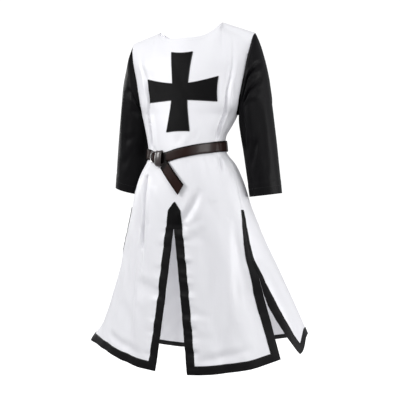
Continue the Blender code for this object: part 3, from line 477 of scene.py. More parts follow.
def seam_dip(theta, level, front):
    """Cloth rolls in at its seams: a narrow bell along the side seams, shoulders and armholes."""
    dip = np.zeros_like(theta)
    for wearer_side in (1, -1):
        beside = from_side_seam(theta, level, wearer_side)
        dip += np.exp(-((beside / SEAM_HALF_WIDTH) ** 2)) * step((level - SIDE_SLIT_TOP + 0.01) / 0.01)
    edge = math.radians(EDGES[1][-1])
    t = np.abs(theta) / edge if front else (math.pi - np.abs(theta)) / (math.pi - edge)
    shoulder = np.exp(-(((SHOULDER - level) / 0.0045) ** 2)) * step((t - NECK_SHARE[front] * 0.9) / 0.05)
    return -SEAM_DIP * np.clip(dip + shoulder, 0, 1)


def body_surface(theta, level, front):
    """The outside of the cloth: the ring or bodice, pushed out by folds, creases, puckers and seams."""
    shape = np.shape(theta)
    theta, level = np.ravel(theta).astype(float), np.ravel(level).astype(float)
    low = level <= UNDERARM
    points = np.empty((len(theta), 3))
    points[low] = ring(theta[low], level[low])
    points[~low] = bodice(theta[~low], level[~low], front)
    facing = unit(np.stack([np.sin(theta) / 1.3, -np.cos(theta), np.zeros_like(theta)], axis=-1))
    calm = 1 - 0.85 * step((level - CINCH[0] + 0.010) / 0.010) * step((CINCH[1] + 0.010 - level) / 0.010)
    height = fold_height(theta, level) + calm * crease_height(theta, level)
    height += pucker_height(theta, level, front) * calm + seam_dip(theta, level, front)
    points += facing * height[:, None]
    points[:, 2] += TILT * points[:, 0] * step((points[:, 2] + 0.30) / 0.25)
    return points.reshape(shape + (3,))


def body_normal(theta, level, front):
    """The outward direction: the cross product of small steps across and up the surface."""
    theta, level = np.asarray(theta, float), np.asarray(level, float)
    above, below = np.minimum(level + NORMAL_RISE, SHOULDER), np.maximum(level - NORMAL_RISE, HEM)
    across = body_surface(theta + NORMAL_TURN, level, front) - body_surface(theta - NORMAL_TURN, level, front)
    up = body_surface(theta, above, front) - body_surface(theta, below, front)
    return unit(np.cross(across, up))


def over_body(theta, level, front, height):
    """Spots a height off the cloth, and the outward directions there."""
    normals = body_normal(theta, level, front)
    return body_surface(theta, level, front) + normals * height, normals


def side_edge(level, wearer_side, front):
    """The angle of a panel's side edge, drawn back by half a seam or by room for the trim."""
    flat = np.minimum(level, UNDERARM)
    edge = np.radians(smooth(flat, EDGES["level"], EDGES[wearer_side]))
    if not front:
        edge = edge + np.radians(np.interp(flat, OPENING["level"], OPENING[wearer_side]))
    gap = np.where(level <= SIDE_SLIT_START + LEVEL_TOLERANCE, SIDE_SLIT_GAP, SEAM / 2)
    return edge + (-1 if front else 1) * gap / around(edge, flat)


def slit_edge(level, wearer_side):
    """How far the front slit's edge is from the centre line, along the cloth."""
    spread = slit_spread(level)
    apart = SLIT_HALF_GAP + SLIT_HALF_SPREAD * spread
    return np.where(level < SLIT_APEX - LEVEL_TOLERANCE, apart, 0.0) + SLIT_DRIFT * spread * wearer_side


# The levels of the rows: even between the corners of the slits, the trim and the belt's hollow
EDGE_SHARES = np.array([0, 0.05, 0.12, 0.22, 0.36, 0.52, 0.75, 1.0])
corners = sorted([HEM, HEM + BAND * 0.25, HEM + BAND * 0.55, HEM + BAND, SLIT_START, SLIT_APEX, *CINCH]
                 + [SIDE_SLIT_START, SIDE_SLIT_TOP, UNDERARM])
skirt_levels = [
    np.linspace(low, high, max(2, math.ceil((high - low) / ROW_HEIGHT) + 1))[:-1]
    for low, high in zip(corners, corners[1:])
]
top_levels = UNDERARM + (SHOULDER - UNDERARM) * np.append(np.linspace(0, 0.98, TOP_ROWS), [0.99, 1.0])
levels = np.concatenate(skirt_levels + [top_levels])
underarm_row = len(levels) - len(top_levels)


def panel_columns(wearer_side, front):
    """Angles of a half panel's columns at every level: close together at its edges, even between."""
    flat = np.minimum(levels, UNDERARM)
    edge = side_edge(levels, wearer_side, front)
    trim = np.interp(flat, SIDE_BAND["level"], SIDE_BAND[front]) / around(edge, flat)
    if front:
        near = around(0.0, flat)
        start = (slit_edge(levels, wearer_side)[:, None] + BAND * EDGE_SHARES) / near[:, None]
        finish = edge[:, None] - trim[:, None] * EDGE_SHARES[::-1]
    else:
        far = math.pi - BAND / around(math.pi, flat)
        start = math.pi - (math.pi - far)[:, None] * EDGE_SHARES
        finish = edge[:, None] + trim[:, None] * EDGE_SHARES[::-1]
    share = np.linspace(0, 1, HALF_COLUMNS)[None, 1:-1]
    between = start[:, -1:] * (1 - share) + finish[:, :1] * share
    return wearer_side * np.concatenate([start, between, finish], axis=1)


def cell_corners(grid):
    """What a grid holds at the four corners of each of its cells."""
    return np.stack([grid[:-1, :-1], grid[:-1, 1:], grid[1:, 1:], grid[1:, :-1]], axis=2)


def grid_quads(rows, columns, closed=False, closed_along=False):
    """Quads of a grid of points stored row by row."""
    index = np.arange(rows * columns).reshape(rows, columns)
    if closed:
        index = np.concatenate([index, index[:, :1]], axis=1)
    if closed_along:
        index = np.concatenate([index, index[:1]])
    return cell_corners(index).reshape(-1, 4)


def grid_normals(points, closed=False):
    """Directions square to a grid, from its neighbours along and across."""
    if closed:
        across = np.roll(points, -1, axis=1) - np.roll(points, 1, axis=1)
    else:
        across = np.gradient(points, axis=1)
    return unit(np.cross(across, np.gradient(points, axis=0)))


def row_steps(points):
    """Metres from each row of a grid to the next, the mean over its columns."""
    return np.linalg.norm(np.diff(points, axis=0), axis=2).mean(axis=1)


def run_along(points):
    """Metres from a line's first point to each of its points."""
    return np.concatenate([[0], np.cumsum(np.linalg.norm(np.diff(points, axis=0), axis=1))])


def grid_metres(points, closed=False):
    """Flat coordinates in metres: the run across each row from its start, and the mean run up to it."""
    looped = np.concatenate([points, points[:, :1]], axis=1) if closed else points
    across = np.cumsum(np.linalg.norm(np.diff(looped, axis=1), axis=2), axis=1)
    across = np.concatenate([np.zeros((len(points), 1)), across], axis=1)[:, : points.shape[1]]
    along = np.concatenate([[0.0], np.cumsum(row_steps(points))])[:, None] + 0 * across
    return np.stack([across, along], axis=-1)


def placed(name, mesh):
    """An object for a mesh, on the coat's one body."""
    piece = bpy.data.objects.new(name, mesh)
    bpy.context.scene.collection.objects.link(piece)
    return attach(piece, "root")


def finished(name, points, faces, uv, sharp):
    """Points, faces and flat coordinates as an object that faces outwards, smooth below an angle."""
    mesh = bpy.data.meshes.new(name)
    mesh.from_pydata(points.tolist(), [], faces)
    mesh.uv_layers.new(name="cloth").data.foreach_set("uv", uv.ravel())
    mesh.calc_loop_triangles()
    corner = np.empty(len(mesh.loop_triangles) * 3, int)
    mesh.loop_triangles.foreach_get("vertices", corner)
    if np.linalg.det(points[corner].reshape(-1, 3, 3)).sum() < 0:
        mesh.flip_normals()
    mesh.shade_smooth()
    mesh.set_sharp_from_angle(angle=math.radians(sharp))
    return placed(name, mesh)


def cloth_piece(name, outer, normals, quads, metres, thickness=CLOTH):
    """A closed shell: the outer grid, the same grid moved in, and a rim where a face ends."""
    outer, normals = outer.reshape(-1, 3), normals.reshape(-1, 3)
    metres = metres.reshape(-1, 2)
    _, first, joined = np.unique(np.round(outer, 6) + 0.0, axis=0, return_index=True, return_inverse=True)
    joined = joined.reshape(-1)
    uv_source = np.array(quads)
    quads = joined[quads]
    keep = (np.sort(quads, axis=1)[:, 1:] != np.sort(quads, axis=1)[:, :-1]).sum(axis=1) >= 2
    quads, uv_source = quads[keep], uv_source[keep]
    outer, inner = outer[first], (outer - thickness * normals)[first]
    count = len(outer)
    edges, sources = (
        np.concatenate([corners[:, [k, (k + 1) % 4]] for k in range(4)]) for corners in (quads, uv_source)
    )
    real = edges[:, 0] != edges[:, 1]
    edges, sources = edges[real], sources[real]
    code, back = edges[:, 0] * count + edges[:, 1], edges[:, 1] * count + edges[:, 0]
    free = ~np.isin(code, back)
    rims = np.stack([edges[free, 1], edges[free, 0], edges[free, 0] + count, edges[free, 1] + count], axis=1)
    rim_uv = sources[free][:, [1, 0, 0, 1]]
    faces = np.concatenate([quads, quads[:, ::-1] + count, rims])
    face_uv = np.concatenate([uv_source, uv_source[:, ::-1], rim_uv])
    rows, uv_rows = [], []
    for face, source in zip(faces.tolist(), face_uv.tolist()):
        kept = [k for k in range(4) if face[k] != face[k - 1]]
        rows.append([face[k] for k in kept])
        uv_rows += [source[k] for k in kept]
    return finished(name, np.concatenate([outer, inner]), rows, metres[np.array(uv_rows)], SHARP_CLOTH)


def cloth_of_grids(name, grids, thickness=CLOTH):
    """One closed shell of several grids: each gives its points, directions, quads and flat coordinates."""
    parts, start = [], 0
    for points, normals, quads, metres in grids:
        parts.append((points.reshape(-1, 3), normals.reshape(-1, 3), quads + start, metres.reshape(-1, 2)))
        start += points.size // 3
    return cloth_piece(name, *(np.concatenate(part) for part in zip(*parts)), thickness=thickness)


def panel(name, front):
    """Both halves of a panel side by side; they share the centre line above the slit."""
    halves = []
    for wearer_side in (-1, 1):
        theta = panel_columns(wearer_side, front)
        level = np.repeat(levels[:, None], theta.shape[1], axis=1)
        points, normals = body_surface(theta, level, front), body_normal(theta, level, front)
        quads = grid_quads(*theta.shape)
        metres = grid_metres(points) * np.array([wearer_side, 1])
        halves.append((points, normals, quads if (wearer_side > 0) == front else quads[:, ::-1], metres))
    return cloth_of_grids(name, halves)


def node(tree, kind, location, values=(), **settings):
    """Adds a node to a tree: settings are its attributes, and values are its inputs and what they hold."""
    made = tree.nodes.new(kind)
    made.location = location
    for key, value in settings.items():
        setattr(made, key, value)
    for key, value in values:
        made.inputs[key].default_value = value
    return made


def join(tree, *links):
    """Links nodes: each link is a node and its output, then a node and its input."""
    for start, output, end, entry in links:
        tree.links.new(start.outputs[output], end.inputs[entry])


def new_material(name):
    """A material, its node tree and its shader."""
    material = bpy.data.materials.new(name)
    material.use_nodes = True
    return material, material.node_tree, material.node_tree.nodes["Principled BSDF"]


def satin_weave_group():
    """Satin: long floats in slanting ranks, fine slubs along the warp, and slow drifts of tone."""
    tree = bpy.data.node_groups.new("satin_weave", "ShaderNodeTree")
    for socket, kind, value in (
        ("Thread", "NodeSocketColor", (0.8, 0.8, 0.8, 1)),
        ("Shadow", "NodeSocketColor", (0.7, 0.7, 0.7, 1)),
        ("Threads per metre", "NodeSocketFloat", 1500.0),
        ("Slub", "NodeSocketFloat", 0.5),
        ("Gloss", "NodeSocketFloat", 0.4),
    ):
        made = tree.interface.new_socket(socket, in_out="INPUT", socket_type=kind)
        made.default_value = value
    for socket, kind in (
        ("Color", "NodeSocketColor"), ("Height", "NodeSocketFloat"), ("Roughness", "NodeSocketFloat")
    ):
        tree.interface.new_socket(socket, in_out="OUTPUT", socket_type=kind)
    given = node(tree, "NodeGroupInput", (-900, 0))
    result = node(tree, "NodeGroupOutput", (900, 0))
    flat = node(tree, "ShaderNodeUVMap", (-900, 300), uv_map="cloth")
    turned = (("Rotation", (0, 0, math.radians(24))),)
    slant = node(tree, "ShaderNodeMapping", (-700, 300), turned, vector_type="POINT")
    uneven = (("Distortion", 1.2), ("Detail", 1.0))
    ranks = node(tree, "ShaderNodeTexWave", (-450, 400), uneven, wave_type="BANDS", bands_direction="X")
    scale = node(tree, "ShaderNodeMath", (-700, 60), ((1, 3.1416),), operation="DIVIDE")
    drawn = (("Scale", (900, 26, 1)),)
    long = node(tree, "ShaderNodeMapping", (-700, -120), drawn, vector_type="POINT")
    slub = node(tree, "ShaderNodeTexNoise", (-450, -120), (("Scale", 1.0), ("Detail", 3.0)))
    drift = node(tree, "ShaderNodeTexNoise", (-450, -420), (("Scale", 9.0), ("Detail", 2.0)))
    fine = node(tree, "ShaderNodeMath", (-200, 260), ((1, 0.5),), operation="MULTIPLY")
    share = node(tree, "ShaderNodeMath", (-200, -120), operation="MULTIPLY")
    height = node(tree, "ShaderNodeMath", (50, 160), operation="ADD")
    tone = node(tree, "ShaderNodeMath", (50, -300), ((1, 0.45),), operation="MULTIPLY_ADD")
    clamp = node(tree, "ShaderNodeClamp", (250, -300))
    blend = node(tree, "ShaderNodeMix", (450, 100), data_type="RGBA")
    rough = node(tree, "ShaderNodeMath", (450, -200), ((1, 0.10),), operation="MULTIPLY_ADD")
    join(
        tree,
        (flat, "UV", slant, "Vector"),
        (flat, "UV", long, "Vector"),
        (flat, "UV", drift, "Vector"),
        (slant, "Vector", ranks, "Vector"),
        (given, "Threads per metre", scale, 0),
        (scale, 0, ranks, "Scale"),
        (long, "Vector", slub, "Vector"),
        (ranks, "Fac", fine, 0),
        (slub, "Fac", share, 0),
        (given, "Slub", share, 1),
        (fine, 0, height, 0),
        (share, 0, height, 1),
        (drift, "Fac", tone, 0),
        (share, 0, tone, 2),
        (tone, 0, clamp, "Value"),
        (clamp, "Result", blend, "Factor"),
        (given, "Thread", blend, "A"),
        (given, "Shadow", blend, "B"),
        (slub, "Fac", rough, 0),
        (given, "Gloss", rough, 2),
        (blend, "Result", result, "Color"),
        (height, 0, result, "Height"),
        (rough, 0, result, "Roughness"),
    )
    return tree


satin_weave = satin_weave_group()


def satin(name, thread, shadow, gloss, slub, bump, sheen, specular):
    """A satin cloth: the weave group feeds colour, roughness and bump; sheen is set on the shader."""
    material, tree, shader = new_material(name)
    given = (("Thread", (*thread, 1)), ("Shadow", (*shadow, 1)), ("Gloss", gloss), ("Slub", slub))
    weave = node(tree, "ShaderNodeGroup", (-500, 100), given, node_tree=satin_weave)
    relief = node(tree, "ShaderNodeBump", (-250, -200), (("Strength", bump), ("Distance", 0.0003)))
    join(
        tree,
        (weave, "Color", shader, "Base Color"),
        (weave, "Roughness", shader, "Roughness"),
        (weave, "Height", relief, "Height"),
        (relief, "Normal", shader, "Normal"),
    )
    shader.inputs["Sheen Weight"].default_value = sheen
    shader.inputs["Sheen Roughness"].default_value = 0.4
    shader.inputs["Specular IOR Level"].default_value = specular
    return material


white_satin = satin(
    "white_satin", (0.83, 0.83, 0.85), (0.78, 0.775, 0.81),
    gloss=0.34, slub=0.5, bump=0.25, sheen=0.05, specular=0.5,
)
for name, front in (("front_satin", True), ("back_satin", False)):
    cloth = panel(name, front)
    cloth.data.materials.append(white_satin)
    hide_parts("front_panel" if front else "back_panel")


# ---- Sleeves ----
# Each is one width of black polyester satin, sewn into the armhole and closed under the arm.
# It hangs slightly bent, with drag lines from the armhole and a hem turned up at the cuff.

SLEEVE = {
    "share": (0.10, 0.25, 0.42, 0.60, 0.80, 1.00),
    "outer_x": (0.2290, 0.2445, 0.2605, 0.2705, 0.2845, 0.2980),
    "outer_z": (-0.060, -0.108, -0.176, -0.262, -0.393, -0.5445),
    "inner_x": (0.1705, 0.1680, 0.1670, 0.1700, 0.1785, 0.1945),
    "inner_z": (-0.2945, -0.305, -0.322, -0.350, -0.425, -0.5575),
    "half_depth": (0.060, 0.065, 0.067, 0.067, 0.065, 0.062),
    "middle_y": (-0.009, -0.006, -0.002, 0.003, 0.012, 0.022),
    "right_in": (0.008, 0.011, 0.012, 0.011, 0.009, 0.006),
    "right_up": (-0.008, -0.008, -0.004, 0.000, 0.006, 0.013),
}
CUFF_HEM = 0.026
ARM_RADIUS = 0.075

# Sleeve creases: path as share down the sleeve and turn in degrees (0 inside the arm, 90 in
# front, 180 outside), half-widths and height
SLEEVE_CREASES = {
    1: (
        (((0.30, 150), (0.26, 128), (0.23, 105), (0.25, 82), (0.30, 62)), 0.008, 0.009, -0.0085),
        (((0.35, 150), (0.30, 125), (0.235, 98), (0.23, 72)), 0.007, 0.007, 0.0040),
        (((0.40, 140), (0.38, 118), (0.35, 95), (0.38, 72)), 0.008, 0.009, -0.0085),
        (((0.50, 128), (0.44, 104), (0.38, 80)), 0.009, 0.009, 0.0030),
        (((0.12, 60), (0.14, 80), (0.13, 100)), 0.007, 0.008, -0.0024),
        (((0.36, 62), (0.48, 60), (0.62, 56), (0.76, 52)), 0.012, 0.017, -0.0085),
        (((0.42, 92), (0.56, 90), (0.74, 86), (0.90, 84)), 0.014, 0.016, 0.0030),
        (((0.56, 124), (0.70, 124), (0.88, 122)), 0.014, 0.014, -0.0026),
        (((0.74, 106), (0.78, 94), (0.83, 82), (0.86, 70)), 0.008, 0.010, -0.0070),
        (((0.84, 122), (0.89, 106), (0.93, 90)), 0.009, 0.009, 0.0026),
        (((0.72, 66), (0.76, 84), (0.77, 104)), 0.009, 0.011, -0.0020),
        (((0.30, 210), (0.36, 240), (0.33, 275)), 0.008, 0.010, -0.0044),
        (((0.42, 215), (0.50, 245), (0.46, 290)), 0.010, 0.009, -0.0046),
        (((0.52, 200), (0.58, 230), (0.60, 262)), 0.011, 0.010, 0.0030),
        (((0.62, 300), (0.74, 296), (0.88, 300)), 0.013, 0.014, -0.0034),
        (((0.70, 225), (0.78, 250), (0.80, 275)), 0.009, 0.010, -0.0036),
    ),
    -1: (
        (((0.16, 60), (0.22, 82), (0.30, 100), (0.40, 108)), 0.007, 0.009, -0.0046),
        (((0.24, 52), (0.31, 76), (0.40, 92)), 0.008, 0.008, 0.0030),
        (((0.30, 46), (0.40, 66), (0.50, 80)), 0.009, 0.010, -0.0046),
        (((0.35, 120), (0.55, 124), (0.78, 126)), 0.014, 0.015, 0.0034),
        (((0.55, 92), (0.68, 92), (0.84, 92)), 0.012, 0.014, -0.0030),
        (((0.66, 60), (0.72, 80), (0.74, 104)), 0.008, 0.010, -0.0034),
        (((0.80, 70), (0.86, 92), (0.87, 116)), 0.009, 0.010, -0.0030),
        (((0.28, 205), (0.36, 235), (0.34, 275)), 0.009, 0.009, -0.0044),
        (((0.45, 215), (0.50, 245), (0.45, 285)), 0.009, 0.010, -0.0044),
        (((0.58, 210), (0.62, 238), (0.60, 268)), 0.011, 0.010, 0.0028),
        (((0.62, 292), (0.76, 290), (0.90, 296)), 0.013, 0.014, -0.0034),
    ),
}


def sleeve_rings(wearer_side):
    """Rings down the sleeve: each is an ellipse whose ends lie on the sleeve's outer and inner line.

    The first ring is the armhole's own edge, up the front and down the back.
    """
    edges = []
    for front in (True, False):
        theta = wearer_side * side_edge(levels[underarm_row:], wearer_side, front)
        edges.append(body_surface(theta, levels[underarm_row:], front))
    armhole = np.concatenate([edges[0], edges[1][-2:0:-1]])
    even = np.interp(top_levels, (UNDERARM, SHOULDER), (0, 0.5))
    turn = 2 * math.pi * np.concatenate([even, 1 - even[-2:0:-1]])
    swing = np.cos(turn)[None, :]
    at = {key: np.array(SLEEVE[key])[:, None] for key in SLEEVE}
    x = (at["outer_x"] + at["inner_x"]) / 2 + (at["inner_x"] - at["outer_x"]) / 2 * swing
    x -= at["right_in"] if wearer_side < 0 else 0
    y = at["middle_y"] - at["half_depth"] * np.sin(turn)[None, :]
    outer_z = at["outer_z"] + (at["right_up"] if wearer_side < 0 else 0)
    z = (outer_z + at["inner_z"]) / 2 + (at["inner_z"] - outer_z) / 2 * swing
    rings = np.stack([x * wearer_side, y, z], axis=-1)
    rings[..., 2] += TILT * rings[..., 0] * step((rings[..., 2] + 0.30) / 0.25)
    share = [0, 0.002, 0.005, 0.010, 0.017]
    share = np.concatenate([share, np.linspace(0.026, 0.94, 92), np.linspace(0.945, 1, 12)])
    return smooth(share, np.append(0.0, SLEEVE["share"]), np.concatenate([armhole[None], rings])), share, turn


def sleeve_relief(points, share, turn, wearer_side):
    """Heights of the sleeve's creases, drag lines and cuff hem, measured along the cloth."""
    length = row_steps(points).sum()
    height = np.zeros(points.shape[:2])
    for path, left, right, depth in SLEEVE_CREASES[wearer_side]:
        s, down, round_it = path_through(path, 31)
        x = wrapped(turn[None, :, None] - np.radians(round_it)) * ARM_RADIUS
        y = (share[:, None, None] - down) * length
        k = np.argmin(x * x + y * y, axis=2)[..., None]
        x, y = np.take_along_axis(x, k, 2)[..., 0], np.take_along_axis(y, k, 2)[..., 0]
        k = k[..., 0]
        side = x * np.gradient(down)[k] * length - y * np.gradient(np.radians(round_it))[k] * ARM_RADIUS
        taper = np.sin(math.pi * np.clip(s[k], 0.02, 0.98)) ** 0.6
        height += depth * taper * crease_bell(np.hypot(x, y), np.where(side > 0, left, right), 0.25)
    down = share[:, None] * length
    around_arm = wrapped(turn)[None, :] * ARM_RADIUS
    height += 0.0008 * ripple(down * 34, 1.0) * ripple(around_arm * 40, 2.0 * wearer_side)
    height += 0.0007 * ripple(around_arm * 120, 2.0) * np.exp(-((down - 0.012) / 0.012) ** 2)
    from_cuff = length - down
    height += 0.0006 * step((CUFF_HEM - from_cuff) / 0.002)
    height += 0.0006 * ripple(around_arm * 90, 0.5) * np.exp(-((from_cuff - CUFF_HEM) / 0.010) ** 2)
    height -= 0.0008 * np.exp(-((from_cuff - CUFF_HEM) / 0.0022) ** 2)
    height -= 0.0012 * np.exp(-((down / 0.004) ** 2))
    return height - SEAM_DIP * np.exp(-((around_arm / 0.003) ** 2))


black_satin = satin(
    "black_satin", (0.0056, 0.0053, 0.0060), (0.0036, 0.0034, 0.0040),
    gloss=0.42, slub=0.6, bump=0.18, sheen=0.0, specular=0.09,
)
cuff_lines = {}
for wearer_side, word in ((1, "left"), (-1, "right")):
    points, share, turn = sleeve_rings(wearer_side)
    normals = grid_normals(points, closed=True)
    middle = points.mean(axis=1, keepdims=True)
    normals *= np.sign((normals * (points - middle)).sum())
    points = points + normals * sleeve_relief(points, share, turn, wearer_side)[..., None]
    away = unit(points[1] - points[0])
    points[0] += SEAM * away
    fine = grid_normals(points, closed=True)
    fine *= np.sign((fine * normals).sum())
    quads = grid_quads(*points.shape[:2], closed=True)
    sleeve = cloth_piece("sleeve_satin_" + word, points, fine, quads, grid_metres(points, closed=True))
    sleeve.data.materials.append(black_satin)
    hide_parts("sleeve_" + word)
    row = int(np.argmin(np.abs(row_steps(points)[::-1].cumsum() - CUFF_HEM)))
    cuff_lines[word] = (points[-2 - row], fine[-2 - row])


# ---- Trim ----
# Bias-cut black cloth folded over the raw edges of the slits and the hem, mitred at each
# corner, and sewn through: wide on the outside, narrower on the inside.

TRIM_CLOTH = 0.0008
FROM_SIDE = 1e-9  # taken off a distance of nothing, so that it counts from the side edge
TRIM_PROFILE = (  # share of the way in from the edge, height over the cloth, way past the edge
    (1.00, 0.0004, 0.0), (0.97, 0.0014, 0.0), (0.85, 0.0016, 0.0), (0.60, 0.0016, 0.0), (0.35, 0.0016, 0.0),
    (0.12, 0.0017, 0.0), (0.0, 0.0014, 0.0010), (0.0, 0.0003, 0.0017), (0.0, -0.0016, 0.0016),
    (0.0, -0.0028, 0.0008), (0.12, -0.0031, 0.0), (0.40, -0.0030, 0.0), (0.53, -0.0029, 0.0),
    (0.55, -0.0020, 0.0),
)


def trim_lines(wearer_side, front):
    """The strip's edge and inner line as angle and level: down one edge, along the hem, up the other."""
    low = HEM + BAND
    lines = []

    def spot(distance, level):
        """The spot at a distance from the slit's edge, or from the side edge when it is negative."""
        flat = np.minimum(level, UNDERARM)
        if distance >= 0:
            return float(wearer_side * (slit_edge(level, wearer_side) + distance) / around(0.0, flat)), level
        edge = side_edge(level, wearer_side, front)
        return float(wearer_side * (edge + (distance if front else -distance) / around(edge, flat))), level

    if front:
        beside_slit = levels[(levels <= SLIT_START + LEVEL_TOLERANCE) & (levels > low)]
        for level in np.append(beside_slit[::-1], low):
            lines.append((spot(0.0, level), spot(BAND, level)))
        corner = lines[-1][1]
        lines += [(spot(0.0, low - BAND * share), corner) for share in (0.25, 0.5, 0.75, 1.0)]
        lines += [(spot(BAND * share, HEM), corner) for share in (0.25, 0.5, 0.75)]
        start = spot(BAND, HEM)[0], spot(BAND, low)[0]
    else:
        start = (wearer_side * math.pi,) * 2
    finish = spot(-BAND, HEM)[0], spot(-BAND, low)[0]
    for share in np.linspace(0, 1, 60):
        outer, inner = (start[k] + (finish[k] - start[k]) * share for k in (0, 1))
        lines.append(((outer, HEM), (inner, low)))
    corner = lines[-1][1]
    lines += [(spot(-BAND * share - FROM_SIDE, HEM), corner) for share in (0.75, 0.5, 0.25, 0.0)]
    lines += [(spot(-FROM_SIDE, HEM + BAND * share), corner) for share in (0.25, 0.5, 0.75)]
    beside_seam = (levels > low + LEVEL_TOLERANCE) & (levels <= SIDE_SLIT_START + LEVEL_TOLERANCE)
    for level in np.append(low, levels[beside_seam]):
        width = np.interp(level, SIDE_BAND["level"], SIDE_BAND[front])
        lines.append((spot(-FROM_SIDE, level), spot(-width, level)))
    return np.array(lines).transpose(1, 0, 2)


def trim_strip(wearer_side, front):
    """The folded strip: its profile set on the line from the edge in, at every place of the path."""
    edge_path, inner_path = trim_lines(wearer_side, front)
    share = np.array(TRIM_PROFILE)
    spots = edge_path[:, None] + (inner_path - edge_path)[:, None] * share[None, :, :1]
    points, normals = over_body(spots[..., 0], spots[..., 1], front, 0)
    inward = unit(body_surface(*inner_path.T, front) - body_surface(*edge_path.T, front))
    low = edge_path[:, 1] < HEM + BAND - LEVEL_TOLERANCE
    side = unit(np.gradient(points[:, 0], axis=0))
    plain = unit(np.cross(normals[:, 0], side))
    plain *= np.sign((plain * inward).sum(axis=1, keepdims=True))
    past = np.where(low[:, None], inward, plain)
    points = points + normals * share[None, :, 1:2] - past[:, None] * share[None, :, 2:3]
    across = np.cumsum(np.concatenate([[0], np.hypot(np.diff(share[:, 0]) * BAND, np.diff(share[:, 1]))]))
    along = run_along(points[:, 5])
    metres = np.stack(np.broadcast_arrays(across[None, :], along[:, None]), axis=-1)
    out = grid_normals(points)
    out *= np.sign((out[:, 2:5] * normals[:, 2:5]).sum())
    quads = grid_quads(*points.shape[:2])
    turned = (np.cross(points[0, 3] - points[0, 2], points[1, 2] - points[0, 2]) * normals[0, 2]).sum() > 0
    return points, out, quads if turned else quads[:, ::-1], metres


black_trim = satin(
    "black_trim", (0.0056, 0.0053, 0.0058), (0.0038, 0.0036, 0.0040),
    gloss=0.40, slub=0.5, bump=0.3, sheen=0.0, specular=0.12,
)
TRIMS = (("trim_front_left", True, (1,)), ("trim_front_right", True, (-1,)), ("trim_back", False, (1, -1)))
for name, front, sides in TRIMS:
    strips = [trim_strip(wearer_side, front) for wearer_side in sides]
    binding = cloth_of_grids(name + "_binding", strips, thickness=TRIM_CLOTH)
    binding.data.materials.append(black_trim)
    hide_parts(name)


# ---- Cross and patch ----
# The cross is one cut of black satin laid on the chest, and the pentagon covers the head of
# the front slit. Both follow the panel under them, and a dense zigzag cord holds their edges.

CROSS_CENTRE_Z = -0.2175
CROSS_ROOT = 0.027
CROSS_ARMS = (
    (0, 1, 0.1288, 0.038, -0.018, 0.002),
    (0, -1, 0.1288, 0.0405, 0.028, 0.001),
    (1, 0, 0.126, 0.0400, 0.0, 0.0),
    (-1, 0, 0.124, 0.0390, 0.0, 0.0),
)
CROSS_RISE = 0.0057
CROSS_TILT = 0.012
CROSS_END_HOLLOW = 0.003
PATCH_ROWS = (-0.6560, -0.597, -0.568)
PATCH_HALF = (0.0268, 0.0215, 0.0)
PATCH_SHIFT = 0.0012
PATCH_TIP = 1.97  # the last row, counted from 0 at the foot to 2 at the very tip
PATCH_CLOTH = 0.0011
SEWN_RISE = 0.0016
TRIM_HEAD = -0.645
CORD_RADIUS = 0.0011
PATCH_CORD_RADIUS = 0.0009
CORD_RISE = 0.0013
CORD_STEP = 0.0035
CORD_GIRTH = 0.004
FRONT_ROWS = 60
FRONT_COLUMNS = 121


def spot_on_front(across, z):
    """Angle and level of spots on the front, found by stepping: distance along the cloth, then height."""
    across, z = np.ravel(across), np.ravel(z)
    turn = np.radians(np.linspace(-75, 75, FRONT_COLUMNS))[None, :]
    shelf = np.linspace(z.min() - 0.03, z.max() + 0.03, FRONT_ROWS)
    lines = body_surface(*np.broadcast_arrays(turn, shelf[:, None]), True)
    run = np.cumsum(np.linalg.norm(np.diff(lines, axis=1), axis=2), axis=1)
    run = np.concatenate([np.zeros((FRONT_ROWS, 1)), run], axis=1)
    run -= run[:, FRONT_COLUMNS // 2, None]
    level, theta = z.copy(), np.zeros_like(z)
    for _ in range(6):
        row = np.clip((level - shelf[0]) / (shelf[1] - shelf[0]), 0, FRONT_ROWS - 1.001)
        low, part = row.astype(int), (row % 1)[:, None]
        here = run[low] * (1 - part) + run[low + 1] * part
        column = np.clip((here < across[:, None]).sum(axis=1) - 1, 0, FRONT_COLUMNS - 2)
        pick = np.arange(len(column))
        first, second = here[pick, column], here[pick, column + 1]
        theta = turn[0, column] + (across - first) / (second - first) * (turn[0, 1] - turn[0, 0])
        level = level + z - body_surface(theta, level, True)[:, 2]
    return theta, level


def sewn_on(name, across, z, quads, rise=SEWN_RISE):
    """A flat cut laid on the front: the panel's surface under each point, moved out."""
    points, normals = over_body(*spot_on_front(across, z), True, np.reshape(rise, (-1, 1)))
    metres = np.stack([np.ravel(across), np.ravel(z)], axis=-1)
    return cloth_piece(name, points, normals, quads, metres, thickness=PATCH_CLOTH)


def cross_grids(steps=22, lines=13):
    """The arms and the middle as grids: each arm widens a little faster outwards to a hollow end."""
    grids = []
    for right, up, reach, end, skew, sideways in CROSS_ARMS:
        u = np.linspace(0, 1, steps + 1)[:, None]
        v = np.linspace(-1, 1, lines)[None, :]
        half = CROSS_ROOT + (end - CROSS_ROOT) * u**1.3
        hollow = CROSS_END_HOLLOW * (1 - v**2) * step((u - 0.6) / 0.4)
        along = CROSS_ROOT + (reach - CROSS_ROOT) * u - hollow + skew * u * half * v
        beside = half * v - sideways * u
        grids.append((along * right + beside * up, along * up - beside * right))
    side = np.linspace(-1, 1, lines) * CROSS_ROOT
    grids.append(np.meshgrid(side, side))
    return grids


def cross_height(across, up):
    """Height of a spot of the cross, with its tilt and its side arms' lift."""
    return CROSS_CENTRE_Z + up + CROSS_TILT * across + CROSS_RISE * (across / 0.12) ** 2


